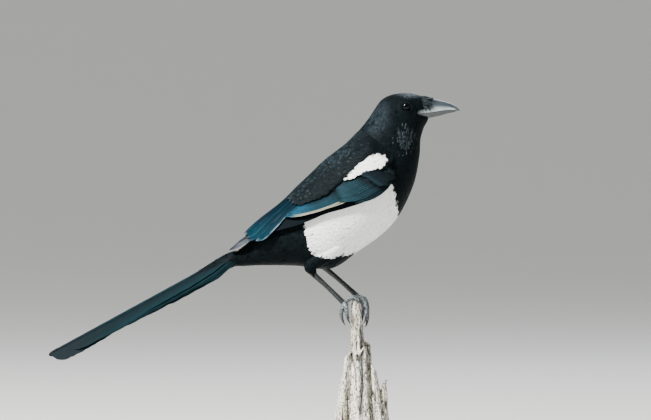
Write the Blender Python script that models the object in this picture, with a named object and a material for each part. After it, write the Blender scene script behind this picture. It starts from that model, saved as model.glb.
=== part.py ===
"""A life-size Eurasian magpie gripping the splintered top of a weathered stub, on a plain display stand.

Lengths are millimetres until a mesh is made. X runs towards the bill, Y to the bird's left, Z up.
The origin is the middle of the stand's underside.
"""

import math
import random

import bmesh
import bpy
from mathutils import Vector

MM = 0.001
GAP = 0.3
SEED = 7

# The stand: a round base, and one rod up into the cut end of the stub.
BASE_RADIUS = 80.0
BASE_HEIGHT = 12.0
BASE_BEVEL = 2.5
ROD_RADIUS = 5.0
STUB_X = 10.0
STUB_FOOT_Z = 26.0

# Cross-sections of the feathered body from tail root to bill: the point on the back (x, z), the point on
# the belly side (x, z), and the half width. Each section is a rounded ellipse between its two points.
BODY = (
    (-107.9, 185.2, -101.6, 172.6, 9.0),
    (-93.9, 196.2, -80.0, 173.4, 14.5),
    (-78.1, 213.0, -50.2, 173.0, 23.5),
    (-59.5, 228.8, -17.0, 170.6, 29.5),
    (-40.0, 251.6, 8.5, 187.2, 33.0),
    (-21.4, 271.6, 30.7, 203.2, 34.5),
    (-3.7, 286.4, 46.5, 221.3, 33.5),
    (7.4, 298.5, 59.5, 249.2, 30.0),
    (15.8, 308.8, 64.6, 273.4, 26.0),
    (22.3, 318.5, 65.8, 290.2, 22.5),
    (28.8, 327.4, 67.4, 297.1, 20.0),
    (38.1, 332.4, 68.8, 301.3, 17.8),
    (51.2, 334.3, 70.5, 304.6, 14.3),
    (62.3, 332.8, 72.1, 307.4, 10.8),
    (71.6, 329.2, 73.3, 309.9, 7.8),
)
# Where the body is parted, in section numbers: torso from the tail root, then neck, then head.
NECK_START = 7.6
HEAD_START = 9.6
PART_STEP = 0.07

# The shell that the folded wings lie on, in the same form as BODY, from one section behind the tail root.
# It stands a little off the body and straightens over the rump, where the wing tips rest above the tail.
SHELL_FIRST = -1
SHELL = (
    (-124.6, 175.8, -116.3, 164.6, 9.0),
    (-111.0, 187.9, -102.3, 171.1, 12.5),
    (-97.7, 200.6, -81.8, 173.0, 18.0),
    (-82.3, 214.0, -52.1, 172.6, 25.0),
    (-60.8, 231.0, -19.5, 170.3, 30.4),
    (-40.6, 252.4, 7.1, 187.1, 33.9),
    (-22.0, 272.4, 31.3, 202.4, 35.4),
    (-4.3, 287.2, 47.1, 220.5, 34.4),
    (7.0, 299.3, 60.1, 248.5, 30.9),
    (15.3, 309.4, 65.2, 272.9, 26.9),
)

# Roundness of the sections: 1 is an ellipse, and less is squarer.
SIDE_ROUND = 0.9
BACK_ROUND = 0.95

# A feather vane's thickness, the crest over its shaft, and the step in height from one vane to the next
# that lies over it.
VANE = 0.5
SHAFT_RISE = 0.12
PITCH = 0.82
LONG_STATIONS = (0.0, 0.3, 0.65, 0.9, 1.0)
SHORT_STATIONS = (0.0, 0.45, 0.82, 1.0)

# The folded tail: where it leaves the body, its slope, and how its roof falls from ridge to edge.
TAIL_ROOT = (-105.0, 179.6)
TAIL_SLOPE = math.radians(28.6)
TAIL_LENGTH = 197.0
TAIL_ROOF = 0.47
TAIL_RIDGE_ROUND = 3.0
TAIL_RIDGE_RISE = 7.2
TAIL_LEVEL = 0.84

EYE = (51.9, 320.7)
EYE_RADIUS = 4.7
EYE_OUT = 12.9
LID_OUT = 3.0
LID_RADIUS = 4.15
LID_THICK = 0.85
LID_DEPTH = 1.0

FOOT_RIGHT = (-5.6, -6.0, 138.4)
FOOT_LEFT = (7.0, 6.0, 144.8)
ANKLE_RIGHT = (-41.6, -17.0, 170.3)
ANKLE_LEFT = (-31.5, 17.0, 175.8)
HIP = (-4.0, 14.0, 198.0)
KNEE = (-15.0, 17.0, 190.0)
THIGH_RADII = (8.0, 10.5, 8.2, 3.8)
SHIN_SHARE = 0.78
CUFF_SHIFT = Vector((0.8, 0.0, 1.1))

COLOURS = {
    "black_plumage": ((0.012, 0.014, 0.018), 0.5, 0.0),
    "wing_gloss": ((0.010, 0.045, 0.075), 0.35, 0.0),
    "tail_gloss": ((0.008, 0.040, 0.045), 0.35, 0.0),
    "bill_horn": ((0.035, 0.037, 0.042), 0.35, 0.0),
    "eye": ((0.012, 0.008, 0.006), 0.08, 0.0),
    "leg_scale": ((0.022, 0.024, 0.028), 0.5, 0.0),
    "claw_horn": ((0.010, 0.010, 0.011), 0.35, 0.0),
    "weathered_wood": ((0.62, 0.58, 0.52), 0.85, 0.0),
    "stand_steel": ((0.35, 0.35, 0.36), 0.35, 1.0),
    "stand_wood": ((0.035, 0.022, 0.015), 0.4, 0.0),
}


def clear_scene():
    for thing in list(bpy.data.objects):
        bpy.data.objects.remove(thing, do_unlink=True)


def material(name):
    found = bpy.data.materials.get(name)
    if found:
        return found
    colour, roughness, metallic = COLOURS[name]
    made = bpy.data.materials.new(name)
    made.use_nodes = True
    shader = made.node_tree.nodes["Principled BSDF"]
    shader.inputs["Base Color"].default_value = (*colour, 1.0)
    shader.inputs["Roughness"].default_value = roughness
    shader.inputs["Metallic"].default_value = metallic
    return made


def mesh_object(name, points, faces, finish):
    """An object from points in millimetres, with its faces turned outwards."""
    mesh = bpy.data.meshes.new(name)
    mesh.from_pydata([Vector(p) * MM for p in points], [], faces)
    tool = bmesh.new()
    tool.from_mesh(mesh)
    bmesh.ops.recalc_face_normals(tool, faces=tool.faces)
    tool.to_mesh(mesh)
    tool.free()
    mesh.materials.append(material(finish))
    mesh.shade_smooth()
    made = bpy.data.objects.new(name, mesh)
    bpy.context.scene.collection.objects.link(made)
    return made


def hermite(a, b, slope_a, slope_b, t):
    """Smooth value between a and b, each a tuple of numbers."""
    t2, t3 = t * t, t * t * t
    weights = (2 * t3 - 3 * t2 + 1, t3 - 2 * t2 + t, 3 * t2 - 2 * t3, t3 - t2)
    return tuple(
        weights[0] * p + weights[1] * m + weights[2] * q + weights[3] * n
        for p, m, q, n in zip(a, slope_a, b, slope_b)
    )


def along(rows, place):
    """The rows' smooth value at a place counted in rows, going on straight past either end."""
    last = len(rows) - 1
    index = min(max(math.floor(place), 0), last - 1)
    share = place - index

    def slope(i):
        before, after = rows[max(i - 1, 0)], rows[min(i + 1, last)]
        span = min(i + 1, last) - max(i - 1, 0)
        return tuple((q - p) / span for p, q in zip(before, after))

    if share < 0:
        return tuple(p + m * share for p, m in zip(rows[0], slope(0)))
    if share > 1:
        return tuple(p + m * (share - 1) for p, m in zip(rows[last], slope(last)))
    return hermite(rows[index], rows[index + 1], slope(index), slope(index + 1), share)


def on_section(row, angle, out=0.0):
    """A point of a section. The angle is 0 at the bird's left side, 90 on its back and -90 on its belly."""
    back_x, back_z, belly_x, belly_z, half_width = row
    middle = Vector(((back_x + belly_x) / 2, 0.0, (back_z + belly_z) / 2))
    rise = Vector(((back_x - belly_x) / 2, 0.0, (back_z - belly_z) / 2))
    sine, cosine = math.sin(math.radians(angle)), math.cos(math.radians(angle))
    up = math.copysign(abs(sine) ** BACK_ROUND, sine)
    side = math.copysign(abs(cosine) ** SIDE_ROUND, cosine)
    point = middle + rise * up * (1 + out / rise.length)
    point.y = (half_width + out) * side
    return point


def body_point(place, angle, out=0.0):
    return on_section(along(BODY, place), angle, out)


def shell_point(place, angle, out=0.0):
    return on_section(along(SHELL, place - SHELL_FIRST), angle, out)


def loft(rings):
    """Points and faces of a closed tube through rings of equal count, each end closed by a fan."""
    count = len(rings[0])
    points = [p for ring in rings for p in ring]
    faces = []
    for row in range(len(rings) - 1):
        for k in range(count):
            a, b = row * count + k, row * count + (k + 1) % count
            faces.append((a, b, b + count, a + count))
    for row in (0, len(rings) - 1):
        centre = len(points)
        points.append(sum((Vector(p) for p in rings[row]), Vector()) / count)
        for k in range(count):
            faces.append((row * count + k, row * count + (k + 1) % count, centre))
    return points, faces


def body_length(name, start, end, steps, sides, finish):
    """One length of the feathered body between two places."""
    rings = []
    for i in range(steps + 1):
        place = start + (end - start) * i / steps
        rings.append([body_point(place, 360 * (k + 0.5) / sides) for k in range(sides)])
    return mesh_object(name, *loft(rings), finish)


def ball(name, centre, radii, finish, rings, sides):
    """A ball or ellipsoid."""
    tool = bmesh.new()
    bmesh.ops.create_uvsphere(tool, u_segments=sides, v_segments=rings, radius=1.0)
    points = [Vector(v.co[i] * radii[i] for i in range(3)) + Vector(centre) for v in tool.verts]
    faces = [tuple(v.index for v in f.verts) for f in tool.faces]
    tool.free()
    return mesh_object(name, points, faces, finish)


def frame_along(direction):
    """Two directions square to one another and to the given one."""
    across = Vector((0, 0, 1)).cross(direction)
    if across.length < 0.2:
        across = Vector((0, 1, 0)).cross(direction)
    across.normalize()
    return across, direction.cross(across).normalized()


def tube(name, route, radii, finish, sides=10, steps=12, flat=1.0):
    """A round-ended limb through the route's points, its radius smoothly following radii."""
    rings = []
    rows = [(*point, radius) for point, radius in zip(route, radii)]
    last = len(rows) - 1
    across = None
    for i in range(steps + 1):
        place = last * i / steps
        x, y, z, radius = along(rows, place)
        ahead, behind = along(rows, place + 0.02), along(rows, place - 0.02)
        direction = (Vector(ahead[:3]) - Vector(behind[:3])).normalized()
        if across is None:
            across, up = frame_along(direction)
        across = (across - direction * across.dot(direction)).normalized()
        up = direction.cross(across)
        ring = []
        for k in range(sides):
            turn = 2 * math.pi * k / sides
            ring.append(Vector((x, y, z)) + (across * math.cos(turn) * flat + up * math.sin(turn)) * radius)
        rings.append(ring)
    return mesh_object(name, *loft(rings), finish)


def join_by_boolean(target, others, operation, solver="EXACT"):
    """Applies one Boolean of all the others to the target, then removes them.

    Many crossing vanes, toes or splinters need the manifold solver, as the exact one leaves open edges.
    """
    group = bpy.data.collections.new(target.name + "_cut")
    for other in others:
        group.objects.link(other)
    bpy.context.scene.collection.children.link(group)
    change = target.modifiers.new("change", "BOOLEAN")
    change.operation = operation
    change.solver = solver
    change.operand_type = "COLLECTION"
    change.collection = group
    bpy.context.view_layer.update()
    graph = bpy.context.evaluated_depsgraph_get()
    result = bpy.data.meshes.new_from_object(target.evaluated_get(graph))
    target.modifiers.clear()
    old = target.data
    target.data = result
    bpy.data.meshes.remove(old)
    for other in list(others):
        bpy.data.objects.remove(other, do_unlink=True)
    bpy.data.collections.remove(group)


def keep_largest(target):
    """Leaves only the largest closed surface of a mesh."""
    tool = bmesh.new()
    tool.from_mesh(target.data)
    bmesh.ops.triangulate(tool, faces=tool.faces)
    unseen, groups = set(tool.faces), []
    while unseen:
        group, edge = set(), [unseen.pop()]
        while edge:
            face = edge.pop()
            group.add(face)
            for side in face.edges:
                for other in side.link_faces:
                    if other in unseen:
                        unseen.discard(other)
                        edge.append(other)
        groups.append(group)

    def volume(group):
        return sum(f.verts[0].co.dot(f.verts[1].co.cross(f.verts[2].co)) for f in group)

    best = max(groups, key=volume)
    spare = [f for group in groups if group is not best for f in group]
    bmesh.ops.delete(tool, geom=spare, context="FACES")
    tool.to_mesh(target.data)
    tool.free()
    target.data.shade_smooth()


def vane(name, centre_line, webs, place_point, finish, long=True):
    """A feather vane: a thin closed blade along a centre line, a long one with a crest for its shaft.

    centre_line(t) gives (a, b, lift, thickness), webs(t) gives the two half widths, and place_point(a, b,
    offset, lift, t) gives the point beside the line. Both faces are split into triangles alike.
    """
    stations = LONG_STATIONS if long else SHORT_STATIONS
    points = []
    for t in stations:
        low, high = webs(t)
        a, b, lift, thick = centre_line(t)
        spots = ((-low, 0.0), (0.0, SHAFT_RISE), (high, 0.0)) if long else ((-low, 0.0), (high, 0.0))
        for offset, rise in spots:
            points.append(place_point(a, b, offset, lift, t))
            points.append(place_point(a, b, offset, lift + thick + rise, t))
    ring = 6 if long else 4
    inner = range(0, ring - 2, 2)
    faces = []
    for i in range(len(stations) - 1):
        here, there = i * ring, (i + 1) * ring
        for k in inner:
            for side in (0, 1):
                p, q = here + k + side, here + k + 2 + side
                r, s = there + k + side, there + k + 2 + side
                faces += [(p, q, s), (p, s, r)]
        for k in (0, ring - 2):
            faces += [(here + k, there + k, there + k + 1), (here + k, there + k + 1, here + k + 1)]
    for end in (0, len(stations) - 1):
        for k in inner:
            base = end * ring + k
            faces += [(base, base + 2, base + 3), (base, base + 3, base + 1)]
    return mesh_object(name, points, faces, finish)


def blade_width(t, tip_round):
    """Share of a vane's full width along it: narrow at the quill, even, then rounded off at the tip."""
    quill = min(1.0, 0.45 + 2.2 * t)
    past = max(0.0, (t - tip_round) / (1 - tip_round))
    return quill * max(0.2, math.sqrt(max(0.0, 1 - past * past)))


# Feather groups of a wing. low and high are the centre lines of the feathers nearest the belly and the
# back, each four places (section, angle) on the shell from root to tip, and the rest lie evenly between.
# floor is the height of the group's lowest edge off the shell at its roots and at its tips, webs are the
# half widths towards the belly and the back, tip is where a vane starts to round off, and reach moves
# the tips of the middle feathers, rearwards by sections and up by degrees. Each vane lies over its
# neighbour on the belly side.
WING_GROUPS = {
    "primary": {
        "long": True,
        "count": 5,
        "low": ((6.35, -20), (4.6, 0), (2.7, 27), (0.75, 38)),
        "high": ((5.4, 4), (4.1, 26), (2.7, 48), (1.5, 58)),
        "webs": (1.9, 5.0),
        "reach": (0.95, 15.0),
        "floor": (0.9, 0.6),
        "tip": 0.86,
    },
    "secondary": {
        "long": True,
        "count": 5,
        "low": ((6.2, -9), (5.0, 1.5), (3.9, 14), (2.85, 36)),
        "high": ((4.9, 17), (4.4, 18.5), (3.8, 23), (3.22, 38)),
        "webs": (2.6, 4.6),
        "reach": (0.0, 0.0),
        "floor": (1.6, 3.5),
        "tip": 0.88,
    },
    "tertial": {
        "long": True,
        "count": 4,
        "low": ((4.4, 46), (3.4, 50), (2.7, 46), (1.6, 24)),
        "high": ((4.5, 78), (3.4, 80), (2.2, 79), (1.1, 66)),
        "webs": (5.5, 6.0),
        "reach": (0.3, -5.0),
        "floor": (2.4, 3.4),
        "tip": 0.72,
    },
    "greater_covert": {
        "long": False,
        "count": 5,
        "low": ((6.4, -12), (5.9, -8), (5.2, -3), (4.5, 6)),
        "high": ((5.9, 10), (5.5, 14), (5.1, 17.5), (4.65, 19)),
        "webs": (3.4, 3.8),
        "reach": (0.0, 0.0),
        "floor": (2.6, 4.4),
        "tip": 0.7,
    },
    "primary_covert": {
        "long": False,
        "count": 3,
        "low": ((6.6, -21), (6.1, -17), (5.5, -12), (4.9, -5)),
        "high": ((6.5, -14), (6.0, -10), (5.45, -6), (4.95, 0)),
        "webs": (2.0, 3.0),
        "reach": (0.0, 0.0),
        "floor": (2.0, 3.2),
        "tip": 0.75,
    },
    "median_covert": {
        "long": False,
        "count": 5,
        "low": ((6.8, -17), (6.55, -14), (6.3, -11), (6.0, -8)),
        "high": ((6.5, 4), (6.25, 7), (6.0, 10), (5.7, 14)),
        "webs": (3.0, 3.4),
        "reach": (0.0, 0.0),
        "floor": (2.4, 5.2),
        "tip": 0.55,
    },
    "white_scapular": {
        "long": False,
        "count": 6,
        "low": ((7.05, 2), (6.92, 1), (6.78, 1), (6.6, 2)),
        "high": ((6.35, 17), (6.0, 19), (5.6, 20), (5.2, 21.5)),
        "webs": (3.0, 3.2),
        "reach": (0.0, 4.0),
        "floor": (2.4, 6.0),
        "tip": 0.5,
    },
    "black_scapular": {
        "long": False,
        "count": 4,
        "low": ((5.6, 31), (5.0, 32), (4.3, 33), (3.5, 43)),
        "high": ((5.4, 66), (4.8, 70), (4.1, 74), (3.4, 77)),
        "webs": (5.2, 5.6),
        "reach": (0.0, 0.0),
        "floor": (2.2, 4.6),
        "tip": 0.55,
    },
}

# The wing's own flesh and small coverts: the lower and upper edge of the shoulder pad, from rear to wrist.
PAD_LOW = ((3.6, 30), (4.5, 7), (5.4, -11), (6.2, -21), (6.85, -24))
PAD_HIGH = ((3.5, 78), (4.4, 77), (5.4, 68), (6.4, 40), (7.05, 7))
PAD_THICK = 3.3
# A vane leaves the pad at this height and is out at its own level after this share of its length.
ROOT_HEIGHT = 1.7
ROOT_SHARE = 0.28


def group_line(group, share):
    """The four places of one feather's centre line."""
    low, high = group["low"], group["high"]
    line = [tuple(p + (q - p) * share for p, q in zip(a, b)) for a, b in zip(low, high)]
    bow = math.sin(math.pi * min(1.0, share + 0.12) ** 0.8)
    line[3] = (line[3][0] - group["reach"][0] * bow, line[3][1] + group["reach"][1] * bow)
    return line


def line_angle(line, wanted):
    """The angle at which a centre line passes a section."""
    near, far = -0.5, 3.5
    for _ in range(20):
        middle = (near + far) / 2
        if along(line, middle)[0] > wanted:
            near = middle
        else:
            far = middle
    return along(line, near)[1]


def layer_height(group, index, place, angle, reach):
    """Height of a vane at a place of the shell: one pitch over its neighbour on the belly side.

    Near the root, at little reach, it falls to a height inside the shoulder pad.
    """
    first, last = (line_angle(group[edge], place) for edge in ("low", "high"))
    ring = shell_point(place, (first + last) / 2 + 1) - shell_point(place, (first + last) / 2)
    spacing = max((last - first) / (group["count"] - 1), 1.8 / ring.length)
    nearest = (angle - first) / spacing
    cover = min(group["webs"][1] / (spacing * ring.length), 3.0)
    root_place, tip_place = group["low"][0][0], group["low"][3][0]
    share = min(max((root_place - place) / (root_place - tip_place), 0.0), 1.0)
    floor = group["floor"][0] + (group["floor"][1] - group["floor"][0]) * share
    full = floor + PITCH * (index - nearest + cover)
    return ROOT_HEIGHT + (full - ROOT_HEIGHT) * min(1.0, reach / ROOT_SHARE)


def wing_vane(name, side, group, index, jitter):
    share = index / (group["count"] - 1)
    line = group_line(group, share)
    low_web, high_web = group["webs"]
    stretch = 1 + jitter * 0.012

    def centre(t):
        place, angle = along(line, 3 * t * stretch)
        return place, angle, 0.0, VANE * (1 - 0.25 * t)

    def webs(t):
        width = blade_width(t, group["tip"])
        return low_web * width, high_web * width

    def point(place, angle, offset, rise, t):
        ring = shell_point(place, angle + 1) - shell_point(place, angle)
        there = min(angle + offset / ring.length, 88.5)
        spot = shell_point(place, there, layer_height(group, index, place, there, t) + rise)
        spot.y = side * max(spot.y, GAP)
        return spot

    return vane(name, centre, webs, point, "wing_gloss", group["long"])


def wing_pad(name, side):
    """The wrist and forearm under the small coverts: a smooth pad on the shell that the vanes root in."""
    rows, columns = 8, 6
    top, bottom = [], []
    for i in range(rows + 1):
        share = i / rows
        low = along(PAD_LOW, share * (len(PAD_LOW) - 1))
        high = along(PAD_HIGH, share * (len(PAD_HIGH) - 1))
        for j in range(columns + 1):
            across = j / columns
            place = low[0] + (high[0] - low[0]) * across
            angle = low[1] + (high[1] - low[1]) * across
            dome = (4 * share * (1 - share)) ** 0.22 * (4 * across * (1 - across)) ** 0.25
            for row, height in ((top, 1.0 + PAD_THICK * dome), (bottom, 0.35)):
                spot = shell_point(place, angle, height)
                spot.y *= side
                row.append(spot)
    points = top + bottom
    half, wide = len(top), columns + 1
    faces = []
    for i in range(rows):
        for j in range(columns):
            a, b = i * wide + j, i * wide + j + 1
            c, d = a + wide, b + wide
            faces += [(a, b, d), (a, d, c), (half + a, half + b, half + d), (half + a, half + d, half + c)]
    rim = [j for j in range(wide)]
    rim += [i * wide + columns for i in range(1, rows + 1)]
    rim += [rows * wide + j for j in range(columns - 1, -1, -1)]
    rim += [i * wide for i in range(rows - 1, 0, -1)]
    for a, b in zip(rim, rim[1:] + rim[:1]):
        faces += [(a, b, half + b), (a, half + b, half + a)]
    return mesh_object(name, points, faces, "wing_gloss")


def make_wing(name, side, seed):
    draw = random.Random(seed)
    wing = wing_pad(name, side)
    pieces = []
    for label, group in WING_GROUPS.items():
        for i in range(group["count"]):
            pieces.append(wing_vane(f"{name}_{label}_{i}", side, group, i, draw.uniform(-1, 1)))
    join_by_boolean(wing, pieces, "UNION", "MANIFOLD")
    keep_largest(wing)
    return wing


# Tail feathers from the middle pair outwards: length past the body, where the quill lies, the half widths
# towards the edge and towards the middle.
TAIL_FEATHERS = (
    (1.0, 7.0, 14.0, 13.0),
    (0.88, 11.8, 10.2, 11.2),
    (0.75, 13.2, 9.3, 12.6),
    (0.63, 13.8, 8.2, 13.2),
    (0.51, 14.6, 7.4, 14.0),
    (0.39, 15.3, 6.7, 14.7),
)
TAIL_BLOCK = 26.0
TAIL_START = 3.0
# The right middle feather lies a little lower and ends a little short of the left one.
RIGHT_SHORT = 3.0
RIGHT_DROOP = 10.0


def tail_point(distance, across, level, drop=0.0):
    """A point of the tail: along its axis, across it, and so many feather levels under the ridge."""
    roof = TAIL_ROOF * (math.hypot(across, TAIL_RIDGE_ROUND) - TAIL_RIDGE_ROUND)
    height = TAIL_RIDGE_RISE - roof - level - drop
    x = TAIL_ROOT[0] - distance * math.cos(TAIL_SLOPE) - height * math.sin(TAIL_SLOPE)
    z = TAIL_ROOT[1] - distance * math.sin(TAIL_SLOPE) + height * math.cos(TAIL_SLOPE)
    return Vector((x, across, z))


def tail_vane(name, side, index, level, length, droop):
    _, quill, outer, inner = TAIL_FEATHERS[index]

    def centre(t):
        distance = TAIL_START + (length - TAIL_START) * t
        spread = min(1.0, 0.35 + distance / 45)
        return distance, quill * spread, level, VANE

    def webs(t):
        distance = TAIL_START + (length - TAIL_START) * t
        width = blade_width(t, 0.9) * min(1.0, 0.3 + distance / 40)
        return inner * width, outer * width

    def point(distance, rest, offset, lift, t):
        late = min(1.0, max(0.0, (t - 0.35) / 0.5))
        sag = droop * late * late * (3 - 2 * late) * max(0.0, offset) / outer
        top_side = lift - level
        return tail_point(distance, side * (rest + offset), level * TAIL_LEVEL - top_side, sag)

    return vane(name, centre, webs, point, "tail_gloss")


def make_tail():
    """Twelve graduated feathers under one ridge, rooted in a short block that the body ends against."""
    rings = []
    sides = 16
    for i in range(5):
        share = i / 4
        distance = GAP + 0.4 + (TAIL_BLOCK - GAP) * share
        half_width = 9.0 + 4.0 * share
        half_height = 6.4 * (1 - 0.62 * share)
        rings.append([])
        for k in range(sides):
            turn = 2 * math.pi * k / sides
            across = half_width * math.cos(turn)
            roof = TAIL_ROOF * (math.hypot(across, TAIL_RIDGE_ROUND) - TAIL_RIDGE_ROUND)
            centre = half_height + 0.4 + 2.4 * share
            level = centre - half_height * math.sin(turn) - roof * (1 - share)
            rings[-1].append(tail_point(distance, across, level))
    tail = mesh_object("tail", *loft(rings), "tail_gloss")
    pieces = []
    level = 0
    for index, (share, *_rest) in enumerate(TAIL_FEATHERS):
        for side in (1, -1):
            lower = index == 0 and side < 0
            length = TAIL_LENGTH * share - (RIGHT_SHORT if lower else 0.0)
            droop = RIGHT_DROOP if lower else 0.0
            pieces.append(tail_vane(f"tail_{index}_{side}", side, index, level, length, droop))
            if index == 0:
                level += 1
        level += 1
    join_by_boolean(tail, pieces, "UNION", "MANIFOLD")
    keep_largest(tail)
    return tail


# The bill's outline along it, from the gape forwards: x, culmen or chin z, mouth line z, half width.
UPPER_BILL = (
    (60.5, 317.5, 314.9, 9.0),
    (66.0, 322.5, 315.2, 8.6),
    (71.5, 327.6, 315.6, 7.6),
    (77.0, 328.4, 316.2, 6.4),
    (83.5, 327.0, 317.3, 5.1),
    (90.5, 325.2, 318.2, 3.8),
    (97.0, 322.3, 318.2, 2.4),
    (101.2, 318.9, 317.3, 1.0),
    (102.0, 317.6, 316.9, 0.5),
)
LOWER_BILL = (
    (61.5, 312.2, 314.3, 8.8),
    (67.0, 311.0, 314.6, 8.2),
    (74.0, 310.3, 315.2, 6.7),
    (82.5, 312.3, 316.2, 4.7),
    (91.0, 314.8, 317.2, 3.1),
    (97.0, 316.2, 317.4, 1.6),
    (98.8, 316.6, 317.0, 0.8),
)


def mandible(name, rows, grow=0.0, steps=12, sides=12):
    """Half of the bill: round outside, flat along the mouth line."""
    rings = []
    last = len(rows) - 1
    for i in range(steps + 1):
        place = last * i / steps
        x, outer, mouth, half = along(rows, place)
        shift = -grow if i == 0 else (grow if i == steps else 0.0)
        ring = []
        for k in range(sides):
            turn = 2 * math.pi * k / sides
            y = (half + grow) * math.copysign(abs(math.cos(turn)) ** 0.8, math.cos(turn))
            sine = math.sin(turn)
            tall = outer - mouth
            if sine >= 0:
                z = mouth + tall * sine ** 0.9 + math.copysign(grow, tall) * sine
            else:
                z = mouth + math.copysign(0.1, tall) * sine + math.copysign(grow, tall) * sine
            ring.append((x + shift, y, z))
        rings.append(ring)
    return mesh_object(name, *loft(rings), "bill_horn")


def eye_frame(side):
    centre = Vector((EYE[0], side * EYE_OUT, EYE[1]))
    outward = Vector((0.22, side * 1.0, 0.06)).normalized()
    return centre, outward


def ring_around(name, centre, outward, radius, thick, finish):
    """A lid: a thin ring round the eye."""
    across, up = frame_along(outward)
    points, faces = [], []
    turns, sides = 16, 5
    for i in range(turns):
        a = 2 * math.pi * i / turns
        spoke = across * math.cos(a) + up * math.sin(a)
        for k in range(sides):
            b = 2 * math.pi * k / sides
            around = spoke * (radius + thick * math.cos(b))
            points.append(centre + around + outward * LID_DEPTH * math.sin(b))
    for i in range(turns):
        for k in range(sides):
            a, b = i * sides + k, i * sides + (k + 1) % sides
            c, d = ((i + 1) % turns) * sides + k, ((i + 1) % turns) * sides + (k + 1) % sides
            faces.append((a, b, d, c))
    return mesh_object(name, points, faces, finish)


BRISTLE_REACH = 79.5


def nasal_bristles():
    """Stiff tapered feathers that lie forward over the nostrils, rooted in the forehead."""
    pieces = []
    for side in (1, -1):
        for i in range(4):
            root = body_point(13.6, 82 - 20 * i, -1.0)
            root.y *= side
            tip = Vector((BRISTLE_REACH - 1.5 * i, side * (1.6 + 1.75 * i), 328.9 - 1.9 * i - 0.3 * i * i))
            middle = (root + tip) / 2 + Vector((0, side * (0.7 + 0.2 * i), 1.0 - 0.1 * i))
            route = [tuple(root), tuple(middle), tuple(tip)]
            pieces.append(tube(f"bristle_{side}_{i}", route, (1.5, 1.1, 0.35), "black_plumage", 5, 4))
    return pieces


def make_head():
    head = body_length("head", HEAD_START + PART_STEP, 14.0, 11, 24, "black_plumage")
    lids = []
    for side in (1, -1):
        centre, outward = eye_frame(side)
        lid_centre = centre + outward * LID_OUT
        lids.append(ring_around(f"lid_{side}", lid_centre, outward, LID_RADIUS, LID_THICK, "black_plumage"))
    join_by_boolean(head, lids + nasal_bristles(), "UNION")
    cuts = []
    for side in (1, -1):
        centre, _ = eye_frame(side)
        grown = EYE_RADIUS + GAP
        cuts.append(ball(f"socket_{side}", centre, (grown * 1.01,) * 3, "eye", 9, 14))
    cuts.append(mandible("upper_room", UPPER_BILL, GAP))
    cuts.append(mandible("lower_room", LOWER_BILL, GAP))
    join_by_boolean(head, cuts, "DIFFERENCE")
    keep_largest(head)
    for side, word in ((1, "left"), (-1, "right")):
        centre, _ = eye_frame(side)
        ball(f"eye_{word}", centre, (EYE_RADIUS,) * 3, "eye", 9, 14)
    upper = mandible("bill_upper", UPPER_BILL)
    nostrils = []
    for side in (1, -1):
        nostrils.append(ball(f"nostril_{side}", (77.0, side * 5.6, 323.6), (1.7, 0.9, 0.8), "eye", 6, 8))
    join_by_boolean(upper, nostrils, "DIFFERENCE")
    keep_largest(upper)
    mandible("bill_lower", LOWER_BILL)
    return head


# Toes of each foot: points of the route from the foot's joint to the claw's root, then the claw's tip.
# They wrap the stub's narrow top, the right foot on its near left side and the left foot over the far one.
TOES = {
    "right": {
        "hind": ((-3.6, -2.0, 136.8), (-4.2, 2.2, 133.4), (-3.2, 5.4, 129.6)),
        "inner": ((-1.6, -4.6, 141.8), (3.2, -4.6, 143.6), (8.0, -4.6, 140.6)),
        "middle": ((-6.6, -7.6, 134.4), (-8.2, -6.4, 129.6), (-7.4, -5.4, 124.4)),
        "outer": ((-3.8, -9.0, 134.6), (-3.2, -9.6, 130.2), (-2.6, -9.2, 126.0)),
    },
    "left": {
        "hind": ((4.4, 8.8, 141.2), (3.4, 10.2, 136.4), (3.6, 10.4, 131.6)),
        "inner": ((12.4, 3.4, 141.8), (14.8, 1.2, 134.6), (15.0, -0.6, 126.0)),
        "middle": ((13.2, 6.8, 142.2), (16.0, 6.4, 134.6), (16.2, 5.6, 122.4)),
        "outer": ((10.8, 9.6, 140.8), (12.4, 11.2, 134.6), (11.8, 11.6, 126.4)),
    },
}


TOE_RADII = (2.0, 1.9, 1.75, 1.4)
CLAW_RADII = (1.25, 1.1, 0.85, 0.55, 0.22)
CLAW_STEP = 1.75
CLAW_BEND = 0.3


def make_foot(word, joint):
    """The ankle end of the shank with four toes, their pads and a claw on each."""
    toes = []
    for toe, route in TOES[word].items():
        points = [joint, *route]
        toes.append(tube(f"toe_{toe}_{word}", points, TOE_RADII, "leg_scale", 7, 8))
        end = Vector(route[-1])
        heading = (end - Vector(route[-2])).normalized()
        inward = Vector((STUB_X - end.x, -end.y * 0.6, 0)).normalized()
        curl = inward * 0.5 + Vector((0, 0, -0.5))
        claw = [end + heading * (GAP + 0.15)]
        for i in range(1, len(CLAW_RADII)):
            bend = CLAW_BEND * i
            claw.append(claw[-1] + (heading * math.cos(bend) + curl * math.sin(bend)) * CLAW_STEP)
        tube(f"claw_{toe}_{word}", [tuple(p) for p in claw], CLAW_RADII, "claw_horn", 6, 5)
    foot = ball(f"foot_{word}", joint, (2.7, 2.9, 2.6), "leg_scale", 8, 10)
    join_by_boolean(foot, toes, "UNION", "MANIFOLD")
    keep_largest(foot)
    return foot


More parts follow.
